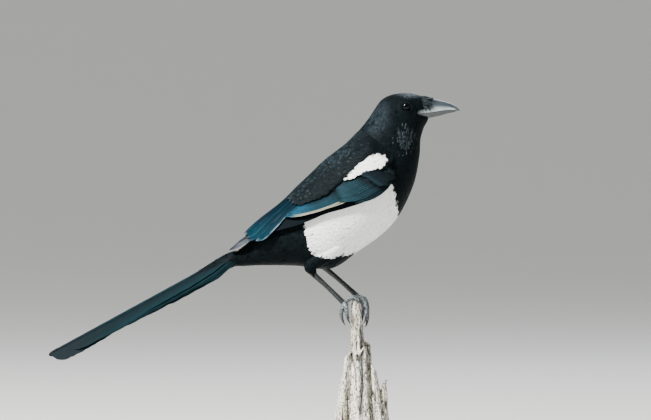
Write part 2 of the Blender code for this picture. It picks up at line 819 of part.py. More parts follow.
def make_leg(word, side, ankle, joint, hidden):
    """Shank from ankle to foot, and the feathered thigh that leaves the flank and hides the ankle."""
    top, foot = Vector(ankle), Vector(joint)
    run = (foot - top).normalized()
    start, end = top + run * (hidden + 0.6), foot - run * (2.9 + GAP)
    middle = (start + end) / 2 + Vector((0, 0, 0.5))
    route = [tuple(start), tuple(middle), tuple(end)]
    shank = tube(f"shank_{word}", route, (2.7, 2.0, 2.25), "leg_scale", 10, 6, 0.85)
    knee = Vector((KNEE[0], side * KNEE[1], KNEE[2]))
    hip = Vector((HIP[0], side * HIP[1], HIP[2]))
    shin, cuff = knee.lerp(top, SHIN_SHARE), top + run * hidden + CUFF_SHIFT
    route = [tuple(hip), tuple(knee), tuple(shin), tuple(cuff)]
    thigh = tube(f"thigh_{word}", route, THIGH_RADII, "black_plumage", 14, 9)
    room = body_length("torso_room", 0.0, NECK_START, 15, 26, "black_plumage")
    for vertex in room.data.vertices:
        vertex.co += vertex.normal * GAP * MM
    foot_room = tube("shank_room", [tuple(start - run * 0.4), tuple(middle), tuple(end)], (3.1, 2.4, 2.6),
                     "leg_scale", 10, 6, 0.9)
    join_by_boolean(thigh, [room, foot_room], "DIFFERENCE")
    keep_largest(thigh)
    return shank


# Splinters of the stub: middle (x, y) and half sizes at the foot, then middle, half sizes and height at
# the top, and how far one top edge is broken lower than the other.
SPLINTERS = (
    ((10.0, 0.0, 17.0, 15.0), (5.6, 0.0, 4.4, 5.6, 140.2), 5.0),
    ((-6.5, -3.5, 9.5, 12.0), (-2.0, -3.0, 3.6, 5.5, 91.0), -7.0),
    ((-9.5, 5.0, 7.0, 10.0), (-7.0, 4.5, 3.0, 5.0, 66.0), 5.0),
    ((27.0, -2.0, 9.0, 11.5), (21.0, -2.0, 3.4, 6.0, 80.0), 9.0),
    ((31.0, 1.0, 6.0, 9.0), (32.2, 0.5, 2.4, 4.5, 66.5), -4.0),
    ((12.0, 13.5, 14.0, 6.5), (12.0, 9.5, 7.5, 3.0, 104.0), 8.0),
    ((13.0, -13.0, 9.0, 6.0), (11.0, -8.6, 3.4, 2.2, 96.0), -9.0),
)


def splinter(name, foot, top, break_drop, draw):
    """A tapering shard of wood with a slanting broken end and an uneven, split section."""
    x0, y0, wide0, deep0 = foot
    x1, y1, wide1, deep1, height = top
    sides, steps = 10, 5
    uneven = [1 + draw.uniform(-0.13, 0.1) for _ in range(sides)]
    rings = []
    for i in range(steps + 1):
        share = i / steps
        ease = share ** 0.7
        ring = []
        for k in range(sides):
            turn = 2 * math.pi * k / sides
            grain = uneven[k] + draw.uniform(-0.02, 0.02)
            x = x0 + (x1 - x0) * ease + (wide0 + (wide1 - wide0) * ease) * math.cos(turn) * grain
            y = y0 + (y1 - y0) * ease + (deep0 + (deep1 - deep0) * ease) * math.sin(turn) * grain
            slant = break_drop * 0.5 * math.cos(turn) * share * share
            ring.append((x, y, STUB_FOOT_Z + (height - STUB_FOOT_Z) * share - slant))
        rings.append(ring)
    return mesh_object(name, *loft(rings), "weathered_wood")


def make_stub(feet):
    draw = random.Random(SEED)
    pieces = []
    for i, (foot, top, break_drop) in enumerate(SPLINTERS):
        pieces.append(splinter(f"splinter_{i}", foot, top, break_drop, draw))
    stub = pieces.pop(0)
    stub.name = "perch"
    join_by_boolean(stub, pieces, "UNION", "MANIFOLD")
    rooms = []
    for foot in feet:
        room = foot.copy()
        room.data = foot.data.copy()
        bpy.context.scene.collection.objects.link(room)
        for vertex in room.data.vertices:
            vertex.co += vertex.normal * GAP * MM * 1.2
        rooms.append(room)
    join_by_boolean(stub, rooms, "DIFFERENCE", "MANIFOLD")
    keep_largest(stub)
    return stub


def turned(name, profile, centre, finish, sides):
    """A turned piece from (radius, height) pairs, closed on its axis."""
    rings = []
    for radius, height in profile:
        ring = []
        for k in range(sides):
            turn = 2 * math.pi * k / sides
            ring.append((centre[0] + radius * math.cos(turn), centre[1] + radius * math.sin(turn), height))
        rings.append(ring)
    return mesh_object(name, *loft(rings), finish)


def make_stand():
    top = BASE_HEIGHT
    profile = (
        (BASE_RADIUS - 1.0, 0.0),
        (BASE_RADIUS, 1.0),
        (BASE_RADIUS, top - BASE_BEVEL),
        (BASE_RADIUS - BASE_BEVEL * 0.3, top - BASE_BEVEL * 0.3),
        (BASE_RADIUS - BASE_BEVEL, top),
    )
    turned("stand_base", profile, (0, 0), "stand_wood", 56)
    rod = ((ROD_RADIUS, top + GAP), (ROD_RADIUS, STUB_FOOT_Z - GAP))
    turned("stand_rod", rod, (STUB_X, 0), "stand_steel", 20)


def main():
    clear_scene()
    body_length("torso", 0.0, NECK_START, 15, 26, "black_plumage")
    body_length("neck", NECK_START + PART_STEP * 0.6, HEAD_START, 5, 26, "black_plumage")
    make_head()
    make_tail()
    make_wing("wing_left", 1, SEED)
    make_wing("wing_right", -1, SEED + 1)
    feet = [make_foot("right", FOOT_RIGHT), make_foot("left", FOOT_LEFT)]
    make_leg("right", -1, ANKLE_RIGHT, FOOT_RIGHT, 7.5)
    make_leg("left", 1, ANKLE_LEFT, FOOT_LEFT, 8.5)
    make_stub(feet)
    make_stand()


main()
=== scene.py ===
import math

import bmesh
import bpy
import numpy as np
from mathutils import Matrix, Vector, kdtree, noise


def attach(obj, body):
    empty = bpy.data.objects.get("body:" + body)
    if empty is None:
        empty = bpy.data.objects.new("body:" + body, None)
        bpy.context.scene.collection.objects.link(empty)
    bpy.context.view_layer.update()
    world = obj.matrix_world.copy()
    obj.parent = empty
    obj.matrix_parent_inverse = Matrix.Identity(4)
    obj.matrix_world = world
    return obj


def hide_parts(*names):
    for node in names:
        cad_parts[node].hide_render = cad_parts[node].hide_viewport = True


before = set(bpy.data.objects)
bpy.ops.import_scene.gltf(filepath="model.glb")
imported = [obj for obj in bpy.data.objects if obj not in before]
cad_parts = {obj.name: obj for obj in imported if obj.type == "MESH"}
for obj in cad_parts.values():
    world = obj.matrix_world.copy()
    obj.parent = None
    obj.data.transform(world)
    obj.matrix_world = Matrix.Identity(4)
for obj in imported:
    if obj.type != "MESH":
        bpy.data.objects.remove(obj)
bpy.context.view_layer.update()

MM = 0.001
SEED = 11

# Cross-sections of the feathered body from tail root to bill, in millimetres: the point on the back
# (x, z), the point on the belly side (x, z), and the half width.
BODY = (
    (-107.9, 185.2, -101.6, 172.6, 9.0),
    (-93.9, 196.2, -80.0, 173.4, 14.5),
    (-78.1, 213.0, -50.2, 173.0, 23.5),
    (-59.5, 228.8, -17.0, 170.6, 29.5),
    (-40.0, 251.6, 8.5, 187.2, 33.0),
    (-21.4, 271.6, 30.7, 203.2, 34.5),
    (-3.7, 286.4, 46.5, 221.3, 33.5),
    (7.4, 298.5, 59.5, 249.2, 30.0),
    (15.8, 308.8, 64.6, 273.4, 26.0),
    (22.3, 318.5, 65.8, 290.2, 22.5),
    (28.8, 327.4, 67.4, 297.1, 20.0),
    (38.1, 332.4, 68.8, 301.3, 17.8),
    (51.2, 334.3, 70.5, 304.6, 14.3),
    (62.3, 332.8, 72.1, 307.4, 10.8),
    (71.6, 329.2, 73.3, 309.9, 7.8),
)

# The shell that the folded wings lie on, in the same form, from one section behind the tail root.
SHELL_FIRST = -1
SHELL = (
    (-124.6, 175.8, -116.3, 164.6, 9.0),
    (-111.0, 187.9, -102.3, 171.1, 12.5),
    (-97.7, 200.6, -81.8, 173.0, 18.0),
    (-82.3, 214.0, -52.1, 172.6, 25.0),
    (-60.8, 231.0, -19.5, 170.3, 30.4),
    (-40.6, 252.4, 7.1, 187.1, 33.9),
    (-22.0, 272.4, 31.3, 202.4, 35.4),
    (-4.3, 287.2, 47.1, 220.5, 34.4),
    (7.0, 299.3, 60.1, 248.5, 30.9),
    (15.3, 309.4, 65.2, 272.9, 26.9),
)
SIDE_ROUND = 0.9
BACK_ROUND = 0.95

# How deep the coat is, by section, from its surface down to the skin.
COAT_PLACES = (0.0, 1.5, 7.0, 9.0, 10.5, 12.5, 14.0)
COAT_DEPTHS = (1.6, 2.4, 2.4, 1.8, 1.1, 0.8, 0.6)

EYE = (51.9, 320.7)
EYE_RADIUS = 4.7
EYE_OUT = 12.9
EYE_MOUND = 1.3
LID_RADIUS = 4.15


def linear(hex_text, alpha=1.0):
    """An sRGB hex colour as linear values."""
    parts = [int(hex_text[i:i + 2], 16) / 255 for i in (1, 3, 5)]
    return (*(p / 12.92 if p <= 0.04045 else ((p + 0.055) / 1.055) ** 2.4 for p in parts), alpha)


def shade(hex_text):
    return np.array(linear(hex_text)[:3])


def smooth_step(value, low, high):
    t = np.clip((np.asarray(value, float) - low) / (high - low), 0, 1)
    return t * t * (3 - 2 * t)


def unit(vectors):
    return vectors / np.maximum(np.linalg.norm(vectors, axis=-1, keepdims=True), 1e-9)


def rows_at(rows, place):
    """The rows' smooth values at many places, going on straight past either end."""
    rows = np.array(rows, float)
    place = np.asarray(place, float)
    last = len(rows) - 1
    slopes = np.gradient(rows, axis=0)
    index = np.clip(np.floor(place), 0, last - 1).astype(int)
    share = place - index
    t = np.clip(share, 0, 1)[..., None]
    t2, t3 = t * t, t * t * t
    value = (2 * t3 - 3 * t2 + 1) * rows[index] + (t3 - 2 * t2 + t) * slopes[index]
    value = value + (3 * t2 - 2 * t3) * rows[index + 1] + (t3 - t2) * slopes[index + 1]
    before, after = np.minimum(share, 0)[..., None], np.maximum(share - 1, 0)[..., None]
    return value + before * slopes[0] + after * slopes[last]


def section(rows, place, angle, out):
    """Points of the sections. The angle is 0 at the left side, 90 on the back and -90 on the belly."""
    place, angle, out = np.broadcast_arrays(place, angle, out)
    row = rows_at(rows, place)
    middle, rise = (row[..., 0:2] + row[..., 2:4]) / 2, (row[..., 0:2] - row[..., 2:4]) / 2
    sine, cosine = np.sin(np.radians(angle)), np.cos(np.radians(angle))
    up = np.sign(sine) * np.abs(sine) ** BACK_ROUND
    side = np.sign(cosine) * np.abs(cosine) ** SIDE_ROUND
    grow = up * (1 + out / np.linalg.norm(rise, axis=-1))
    x, z = middle[..., 0] + rise[..., 0] * grow, middle[..., 1] + rise[..., 1] * grow
    return np.stack([x, (row[..., 4] + out) * side, z], axis=-1)


def body_at(place, angle, out=0.0):
    return section(BODY, place, angle, out)


def shell_at(place, angle, out=0.0):
    return section(SHELL, np.asarray(place) - SHELL_FIRST, angle, out)


def eye_places():
    for side in (1, -1):
        centre = np.array((EYE[0], side * EYE_OUT, EYE[1]))
        outward = unit(np.array((0.22, side * 1.0, 0.06)))
        yield side, centre, outward


def from_axis(points, centre, outward):
    """How far points lie along an axis from its centre, and how far away from the axis."""
    off = points - centre
    axial = off @ outward
    return axial, np.linalg.norm(off - axial[..., None] * outward, axis=-1)


def head_at(place, angle, out=0.0):
    """The body's surface with the soft mound of feathers that rises round each eye up to its lids."""
    points = body_at(place, angle, out)
    for _, centre, outward in eye_places():
        axial, radial = from_axis(points, centre, outward)
        lift = EYE_MOUND * (1 - smooth_step(radial, 4.0, 9.5)) * (axial > -4)
        points = points + lift[..., None] * outward
    return points


def coat_depth(place):
    return np.interp(place, COAT_PLACES, COAT_DEPTHS)


def folded(angle):
    """The angle measured alike on both sides: 90 on the back, 0 at the side, -90 under the belly."""
    turned = (np.asarray(angle, float) + 90) % 360 - 90
    return np.where(turned > 90, 180 - turned, turned)


# Meshes from arrays.
def turned_out(points, faces):
    """The faces of a closed mesh, turned so that they point outwards."""
    corner = points[faces]
    volume = np.einsum("ij,ij->", corner[:, 0], np.cross(corner[:, 1], corner[:, 2]))
    return faces[:, ::-1] if volume < 0 else faces


def joined(parts):
    """One list of points and one of faces from several closed meshes."""
    points, faces, count = [], [], 0
    for some, those in parts:
        points.append(some)
        faces.append(turned_out(some, those) + count)
        count += len(some)
    return np.concatenate(points), np.concatenate(faces)


def paint(mesh, colours):
    """Each point's own colour, as the attribute that the materials read."""
    layer = mesh.color_attributes.new("plumage", "FLOAT_COLOR", "POINT")
    layer.data.foreach_set("color", np.column_stack([colours, np.ones(len(colours))]).ravel())


def points_of(mesh):
    flat = np.empty(len(mesh.vertices) * 3)
    mesh.vertices.foreach_get("co", flat)
    return flat.reshape(-1, 3) / MM


def move_points(mesh, points):
    mesh.vertices.foreach_set("co", (points * MM).ravel())


def select_only(piece):
    bpy.ops.object.select_all(action="DESELECT")
    piece.select_set(True)
    bpy.context.view_layer.objects.active = piece


def finish_with(piece, kind, **settings):
    """Adds a modifier to the selected piece and applies it."""
    modifier = piece.modifiers.new(kind.lower(), kind)
    for key, value in settings.items():
        setattr(modifier, key, value)
    bpy.ops.object.modifier_apply(modifier=modifier.name)


def closed_mesh(name, points, faces, finish, colours=None, maps=None, sharp=60):
    """An object of triangles from points in millimetres, with its faces turned outwards."""
    points = np.asarray(points, float)
    faces = turned_out(points, np.asarray(faces, int))
    mesh = bpy.data.meshes.new(name)
    mesh.vertices.add(len(points))
    move_points(mesh, points)
    mesh.loops.add(faces.size)
    mesh.loops.foreach_set("vertex_index", faces.ravel())
    mesh.polygons.add(len(faces))
    mesh.polygons.foreach_set("loop_start", np.arange(0, faces.size, 3))
    mesh.update(calc_edges=True)
    if colours is not None:
        paint(mesh, colours)
    for label, spots in (maps or {}).items():
        layer = mesh.uv_layers.new(name=label)
        layer.data.foreach_set("uv", np.asarray(spots)[faces.ravel()].ravel())
    mesh.validate()
    mesh.shade_smooth()
    if sharp:
        mesh.set_sharp_from_angle(angle=math.radians(sharp))
    mesh.materials.append(finish)
    made = bpy.data.objects.new(name, mesh)
    bpy.context.scene.collection.objects.link(made)
    return made


def slab_faces(rows, columns):
    """Triangles of a closed slab: an upper and a lower grid of points, and the rim between them."""
    i, j = np.meshgrid(np.arange(rows - 1), np.arange(columns - 1), indexing="ij")
    a = (i * columns + j).ravel()
    b, c, d = a + 1, a + columns, a + columns + 1
    upper = np.concatenate([np.stack([a, b, d], 1), np.stack([a, d, c], 1)])
    lower = upper[:, ::-1] + rows * columns
    rim = list(range(columns)) + [r * columns + columns - 1 for r in range(1, rows)]
    rim += [(rows - 1) * columns + k for k in range(columns - 2, -1, -1)]
    rim += [r * columns for r in range(rows - 2, 0, -1)]
    rim = np.array(rim)
    after, under = np.roll(rim, -1), rows * columns
    edge = np.concatenate([np.stack([rim, rim + under, after], 1),
                           np.stack([after, rim + under, after + under], 1)])
    return np.concatenate([upper, lower, edge])


def loft_faces(rings, sides):
    """Triangles of a closed tube of rings, with a point at the middle of each end."""
    i, k = np.meshgrid(np.arange(rings - 1), np.arange(sides), indexing="ij")
    a, b = (i * sides + k).ravel(), (i * sides + (k + 1) % sides).ravel()
    wall = np.concatenate([np.stack([a, b, b + sides], 1), np.stack([a, b + sides, a + sides], 1)])
    k = np.arange(sides)
    first, last = rings * sides, rings * sides + 1
    start = np.stack([(k + 1) % sides, k, np.full(sides, first)], 1)
    top = (rings - 1) * sides
    end = np.stack([top + k, top + (k + 1) % sides, np.full(sides, last)], 1)
    return np.concatenate([wall, start, end])


def loft_points(rings):
    """The tube's points for loft_faces."""
    rings = np.asarray(rings, float)
    return np.concatenate([rings.reshape(-1, 3), rings[0].mean(0)[None], rings[-1].mean(0)[None]])


def many(points, faces):
    """One list of points and faces from n like pieces given as (n, points, 3)."""
    count, each = points.shape[0], points.shape[1]
    return points.reshape(-1, 3), (faces[None] + (np.arange(count) * each)[:, None, None]).reshape(-1, 3)


# Small feathers: a root point, rings of points across the vane with a keel point under each, and a tip.
FINE_TUFT = {"t": (0.3, 0.62, 0.87, 1.0), "s": (-1.0, -0.5, 0.0, 0.5, 1.0), "wide": (0.7, 1.0, 0.86, 0.4),
             "tip": (0.94, 0.98, 1.0, 0.98, 0.94)}
SMALL_TUFT = {"t": (0.55, 0.85, 1.0), "s": (-1.0, 0.0, 1.0), "wide": (1.0, 0.8, 0.3),
              "tip": (0.96, 1.0, 0.96)}
KEEL = -0.16
BAKE_HALF = 0.0015
# How far one feather differs from the next: its size, height and crown, and its ragged edge and tip.
SIZE_SPREAD, HEIGHT_SPREAD, CROWN_SPREAD = (0.82, 1.18), (-0.08, 0.06), (0.7, 1.2)
EDGE_SPREAD, TIP_SPREAD = (0.9, 1.1), (-0.09, 0.06)


def tuft_faces(form):
    """Triangles of one small feather. Each ring is its points across and one keel point under them."""
    across, rings = len(form["s"]), len(form["t"])
    size = across + 1
    faces = [(0, 1 + (k + 1) % size, 1 + k) for k in range(size)]
    for r in range(rings - 1):
        here, there = 1 + r * size, 1 + (r + 1) * size
        for a in range(size):
            b = (a + 1) % size
            faces += [(here + a, here + b, there + b), (here + a, there + b, there + a)]
    last = 1 + (rings - 1) * size
    faces += [(last + k, last + k + 1, last + across) for k in range(across - 1)]
    return np.array(faces)


def tuft_grid(surface, roots, steps, length, width, low, high, turn, draw, form, crown, lay=1.7):
    """Points (n, v, 3) of feathers that follow a surface from their roots towards smaller places.

    surface(a, b, out) gives points; low and high are the heights of roots and tips, and turn is the
    sideways slant. lay above 1 brings a feather quickly up from its root and then along the coat.
    """
    a, b = roots[:, 0], roots[:, 1]
    count = len(a)
    along = (surface(a + steps[0], b, high) - surface(a - steps[0], b, high)) / (2 * steps[0])
    aside = (surface(a, b + steps[1], high) - surface(a, b - steps[1], high)) / (2 * steps[1])
    back = -unit(along)
    normal = unit(np.cross(aside, along))
    cross = np.cross(normal, back)
    e, f, g = (np.einsum("ij,ij->i", p, q) for p, q in ((along, along), (along, aside), (aside, aside)))
    det = e * g - f * f
    ts, ss, heights = [np.zeros((count, 1))], [np.zeros((count, 1))], [np.zeros((count, 1))]
    s_row = np.array(form["s"])
    for r, t in enumerate(form["t"]):
        at = np.full((count, len(s_row)), t)
        if r == len(form["t"]) - 1:
            at = np.array(form["tip"])[None] + draw.uniform(*TIP_SPREAD, (count, len(s_row)))
        ts += [at, np.full((count, 1), min(t, 0.93))]
        ragged = draw.uniform(*EDGE_SPREAD, (count, len(s_row)))
        ss += [s_row[None] * form["wide"][r] * ragged, np.zeros((count, 1))]
        bend = crown[:, None] * (1 - s_row[None] ** 2) * (0.75 + 0.25 * t)
        heights += [bend, np.full((count, 1), KEEL)]
    t, s, bend = (np.concatenate(part, 1) for part in (ts, ss, heights))
    forward, sideways = t * length[:, None], s * width[:, None] / 2
    cosine, sine = np.cos(turn)[:, None], np.sin(turn)[:, None]
    move = ((forward * cosine - sideways * sine)[..., None] * back[:, None]
            + (forward * sine + sideways * cosine)[..., None] * cross[:, None])
    m1 = np.einsum("nvk,nk->nv", move, along)
    m2 = np.einsum("nvk,nk->nv", move, aside)
    step_a = (m1 * g[:, None] - m2 * f[:, None]) / det[:, None]
    step_b = (m2 * e[:, None] - m1 * f[:, None]) / det[:, None]
    rise = 1 - (1 - np.clip(t, 0, 1)) ** lay
    out = low[:, None] + (high - low)[:, None] * rise + bend
    points = surface(a[:, None] + step_a, b[:, None] + step_b, out)
    return points, t, s, forward, sideways


def tuft_piece(name, surface, roots, steps, length, width, low, high, colour, unwrap,
               form=FINE_TUFT, turn=6.0, crown=0.16, seed=0, keep=None, lay=1.9):
    """One coat piece: feathers of a surface as a joined mesh, with their colours and their maps."""
    draw = np.random.default_rng(SEED + seed)
    count = len(roots)
    size = draw.uniform(*SIZE_SPREAD, count)
    length, width = np.broadcast_to(length, count) * size, np.broadcast_to(width, count) * size
    low = np.broadcast_to(low, count)
    high = np.broadcast_to(high, count) + draw.uniform(*HEIGHT_SPREAD, count)
    bend = np.broadcast_to(crown, count) * draw.uniform(*CROWN_SPREAD, count)
    slant = np.radians(draw.normal(0, turn, count))
    points, t, s, forward, sideways = tuft_grid(
        surface, roots, steps, length, width, low, high, slant, draw, form, bend, lay)
    if keep is not None:
        kept = keep(points)
        points, t, s, forward, sideways = (part[kept] for part in (points, t, s, forward, sideways))
        roots = roots[kept]
    colours = colour(points, roots, t, s, draw)
    vane_map = np.stack([sideways, forward], -1).reshape(-1, 2) * MM
    centre = unwrap(roots)
    patch = centre[:, None, :] + np.stack([s, t * 2 - 1], -1) * BAKE_HALF
    flat, faces = many(points, tuft_faces(form))
    return closed_mesh(name, flat, faces, contour_plumage, colours.reshape(-1, 3),
                       {"OFBake": patch.reshape(-1, 2), "vane": vane_map})


AROUND = [(i, j, k) for i in (-1, 0, 1) for j in (-1, 0, 1) for k in (-1, 0, 1)]


def scatter(surface, steps, low, high, wanted, spacing, seed, tries=9):
    """Root places spread evenly over part of a surface, none nearer than the spacing there."""
    draw = np.random.default_rng(SEED * 7 + seed)
    grid_a, grid_b = np.meshgrid(np.linspace(low[0], high[0], 40), np.linspace(low[1], high[1], 60))

    def area(a, b):
        along = (surface(a + steps[0], b, 0.0) - surface(a - steps[0], b, 0.0)) / (2 * steps[0])
        aside = (surface(a, b + steps[1], 0.0) - surface(a, b - steps[1], 0.0)) / (2 * steps[1])
        return np.linalg.norm(np.cross(along, aside), axis=-1)

    flat_a, flat_b = grid_a.ravel(), grid_b.ravel()
    density = area(flat_a, flat_b) / spacing(flat_a, flat_b) ** 2
    top = np.percentile(density, 99.5)
    total = density.mean() * (high[0] - low[0]) * (high[1] - low[1])
    count = int(total * tries * top / density.mean())
    a, b = draw.uniform(low[0], high[0], count), draw.uniform(low[1], high[1], count)
    chosen = draw.uniform(0, top, count) < area(a, b) / spacing(a, b) ** 2
    a, b = a[chosen], b[chosen]
    inside = wanted(a, b)
    a, b = a[inside], b[inside]
    spots, gaps = surface(a, b, 0.0), spacing(a, b)
    keys = np.floor(spots / gaps.max()).astype(int).tolist()
    cells, kept = {}, []

    def crowded(i):
        """Whether a root that is already kept lies within this one's spacing."""
        x, y, z = keys[i]
        for dx, dy, dz in AROUND:
            for other in cells.get((x + dx, y + dy, z + dz), ()):
                d = spots[i] - spots[other]
                if d[0] * d[0] + d[1] * d[1] + d[2] * d[2] < gaps[i] * gaps[i]:
                    return True
        return False

    for i, key in enumerate(keys):
        if not crowded(i):
            cells.setdefault(tuple(key), []).append(i)
            kept.append(i)
    return np.stack([a[kept], b[kept]], 1)


# Materials.

def add(tree, kind, settings=None, links=None):
    """Adds a node with its settings and links. A link is input: (node, output)."""
    node = tree.nodes.new(kind)
    for key, value in (settings or {}).items():
        if isinstance(key, int) or key in node.inputs:
            node.inputs[key].default_value = value
        else:
            setattr(node, key, value)
    for key, (source, output) in (links or {}).items():
        tree.links.new(source.outputs[output], node.inputs[key])
    return node


def new_material(name, settings):
    """A material with its shader's fixed values set on the shader itself."""
    made = bpy.data.materials.new(name)
    made.use_nodes = True
    tree = made.node_tree
    shader = tree.nodes["Principled BSDF"]
    for key, value in settings.items():
        shader.inputs[key].default_value = value
    return made, tree, shader


def per_mm(size_mm):
    """A noise scale whose features are this many millimetres apart."""
    return 1 / (size_mm * MM)


def grey(value):
    return (value, value, value, 1)


def ramp(tree, source, output, stops):
    """A colour ramp over another node's output, from stops of (place, colour)."""
    node = add(tree, "ShaderNodeValToRGB", links={"Fac": (source, output)})
    elements = node.color_ramp.elements
    while len(elements) < len(stops):
        elements.new(0.5)
    for element, (place, colour) in zip(elements, stops):
        element.position, element.color = place, colour
    return node


def vane_material(name, settings, barb_mm=0.7, depth_mm=0.08, streak=(0.7, 1.25), rough=(0.4, 0.6)):
    """Feather vanes coloured by their own attribute, with slanting barbs each side of the shaft."""
    made, tree, shader = new_material(name, settings)
    tint = add(tree, "ShaderNodeAttribute", {"attribute_name": "plumage"})
    place = add(tree, "ShaderNodeUVMap", {"uv_map": "vane"})
    parts = add(tree, "ShaderNodeSeparateXYZ", links={"Vector": (place, "UV")})
    across = add(tree, "ShaderNodeMath", {"operation": "ABSOLUTE"}, {0: (parts, "X")})
    slant = add(tree, "ShaderNodeMath", {"operation": "MULTIPLY", 1: 1.3}, {0: (across, 0)})
    lie = add(tree, "ShaderNodeMath", {"operation": "SUBTRACT"}, {0: (parts, "Y"), 1: (slant, 0)})
    # Barbs lie as lines of equal lie, and a little of the sideways place lets them wander.
    wander = add(tree, "ShaderNodeMath", {"operation": "MULTIPLY", 1: 0.12}, {0: (parts, "X")})
    lines = add(tree, "ShaderNodeCombineXYZ", links={"X": (lie, 0), "Y": (wander, 0)})
    barbs = add(tree, "ShaderNodeTexNoise", {"Scale": per_mm(barb_mm), "Detail": 3.0, "Roughness": 0.6},
                {"Vector": (lines, 0)})
    streaks = ramp(tree, barbs, "Fac", ((0.3, grey(streak[0])), (0.7, grey(streak[1]))))
    colour = add(tree, "ShaderNodeMix", {"data_type": "RGBA", "blend_type": "MULTIPLY", 0: 1.0},
                 {6: (tint, "Color"), 7: (streaks, "Color")})
    tree.links.new(colour.outputs[2], shader.inputs["Base Color"])
    dull = add(tree, "ShaderNodeMapRange", {"To Min": rough[0], "To Max": rough[1]},
               {"Value": (barbs, "Fac")})
    tree.links.new(dull.outputs[0], shader.inputs["Roughness"])
    bump = add(tree, "ShaderNodeBump", {"Strength": 0.6, "Distance": depth_mm * MM},
               {"Height": (barbs, "Fac")})
    tree.links.new(bump.outputs[0], shader.inputs["Normal"])
    return made


# Contour plumage, black and white keratin: loose barbs with a soft sheen, matt where it is white.
# Real barbs are about 0.2 mm apart, too fine to show, so all three vanes draw them coarser.
contour_plumage = vane_material("contour_plumage", {
    "Specular IOR Level": 0.05, "Specular Tint": linear("#b9ccd4"), "Sheen Weight": 0.03,
    "Sheen Roughness": 0.4, "Sheen Tint": linear("#9fb9c6")}, rough=(0.45, 0.68))
# Flight vanes: layered keratin barbules that mirror blue and green, with a satin surface.
flight_vane = vane_material("flight_vane", {
    "Specular IOR Level": 0.05, "Specular Tint": linear("#8fb8cc")}, barb_mm=0.8, rough=(0.5, 0.68))
# Tail vanes: the same keratin, stiffer and rougher, with a greener gloss.
tail_vane = vane_material("tail_vane", {
    "Specular IOR Level": 0.08, "Specular Tint": linear("#b0c6c4")}, barb_mm=0.9, rough=(0.62, 0.8))


def skin_material():
    """Skin under the coat, with its down: dull, in the colour of the feathers over it."""
    made, tree, shader = new_material("feathered_skin", {"Specular IOR Level": 0.05, "Roughness": 0.8})
    tint = add(tree, "ShaderNodeAttribute", {"attribute_name": "plumage"})
    place = add(tree, "ShaderNodeTexCoord")
    down = add(tree, "ShaderNodeTexNoise", {"Scale": per_mm(1.111), "Detail": 4.0},
               {"Vector": (place, "Object")})
    patches = ramp(tree, down, "Fac", ((0.3, grey(0.85)), (0.7, grey(1.0))))
    colour = add(tree, "ShaderNodeMix", {"data_type": "RGBA", "blend_type": "MULTIPLY", 0: 1.0},
                 {6: (tint, "Color"), 7: (patches, "Color")})
    tree.links.new(colour.outputs[2], shader.inputs["Base Color"])
    return made


feathered_skin = skin_material()


def horn_material(name, tones, settings, scale_mm, stretch, depth_mm, rough, tinted=False):
    """Horn: grown in long fine layers, so streaked along its length, and polished by use."""
    made, tree, shader = new_material(name, settings)
    place = add(tree, "ShaderNodeTexCoord")
    scaled = add(tree, "ShaderNodeMapping", {"Scale": stretch}, {"Vector": (place, "Object")})
    grain = add(tree, "ShaderNodeTexNoise", {"Scale": per_mm(scale_mm), "Detail": 5.0, "Roughness": 0.6},
                {"Vector": (scaled, 0)})
    colour = ramp(tree, grain, "Fac", ((0.25, linear(tones[0])), (0.75, linear(tones[1]))))
    if tinted:
        tint = add(tree, "ShaderNodeAttribute", {"attribute_name": "plumage"})
        both = add(tree, "ShaderNodeMix", {"data_type": "RGBA", "blend_type": "MULTIPLY", 0: 1.0},
                   {6: (colour, "Color"), 7: (tint, "Color")})
        tree.links.new(both.outputs[2], shader.inputs["Base Color"])
    else:
        tree.links.new(colour.outputs["Color"], shader.inputs["Base Color"])
    dull = add(tree, "ShaderNodeMapRange", {"To Min": rough[0], "To Max": rough[1]},
               {"Value": (grain, "Fac")})
    tree.links.new(dull.outputs[0], shader.inputs["Roughness"])
    bump = add(tree, "ShaderNodeBump", {"Strength": 0.5, "Distance": depth_mm * MM},
               {"Height": (grain, "Fac")})
    tree.links.new(bump.outputs[0], shader.inputs["Normal"])
    return made


# The bill: horn layers 1.6 mm apart, streaked forwards, satin, with a painted highlight along the cutting
# edge.
bill_horn = horn_material("bill_horn", ("#bcbcbc", "#ffffff"), {
    "Specular IOR Level": 0.6, "Coat Weight": 0.2, "Coat Roughness": 0.25},
    1.6, (0.3, 1.0, 1.0), 0.06, (0.26, 0.44), tinted=True)
# Claws: black horn, worn smooth on the wood, so a little glossier.
claw_horn = horn_material("claw_horn", ("#0e0f11", "#25272b"), {"Specular IOR Level": 0.6},
                          1.6, (1, 1, 0.5), 0.05, (0.25, 0.4))
# Lids: bare beaded skin, near black and almost without shine.
lid_skin = horn_material("lid_skin", ("#06080a", "#12181d"), {
    "Specular IOR Level": 0.2, "Specular Tint": linear("#9dbcd2")}, 0.6, (1, 1, 1), 0.1, (0.45, 0.65))


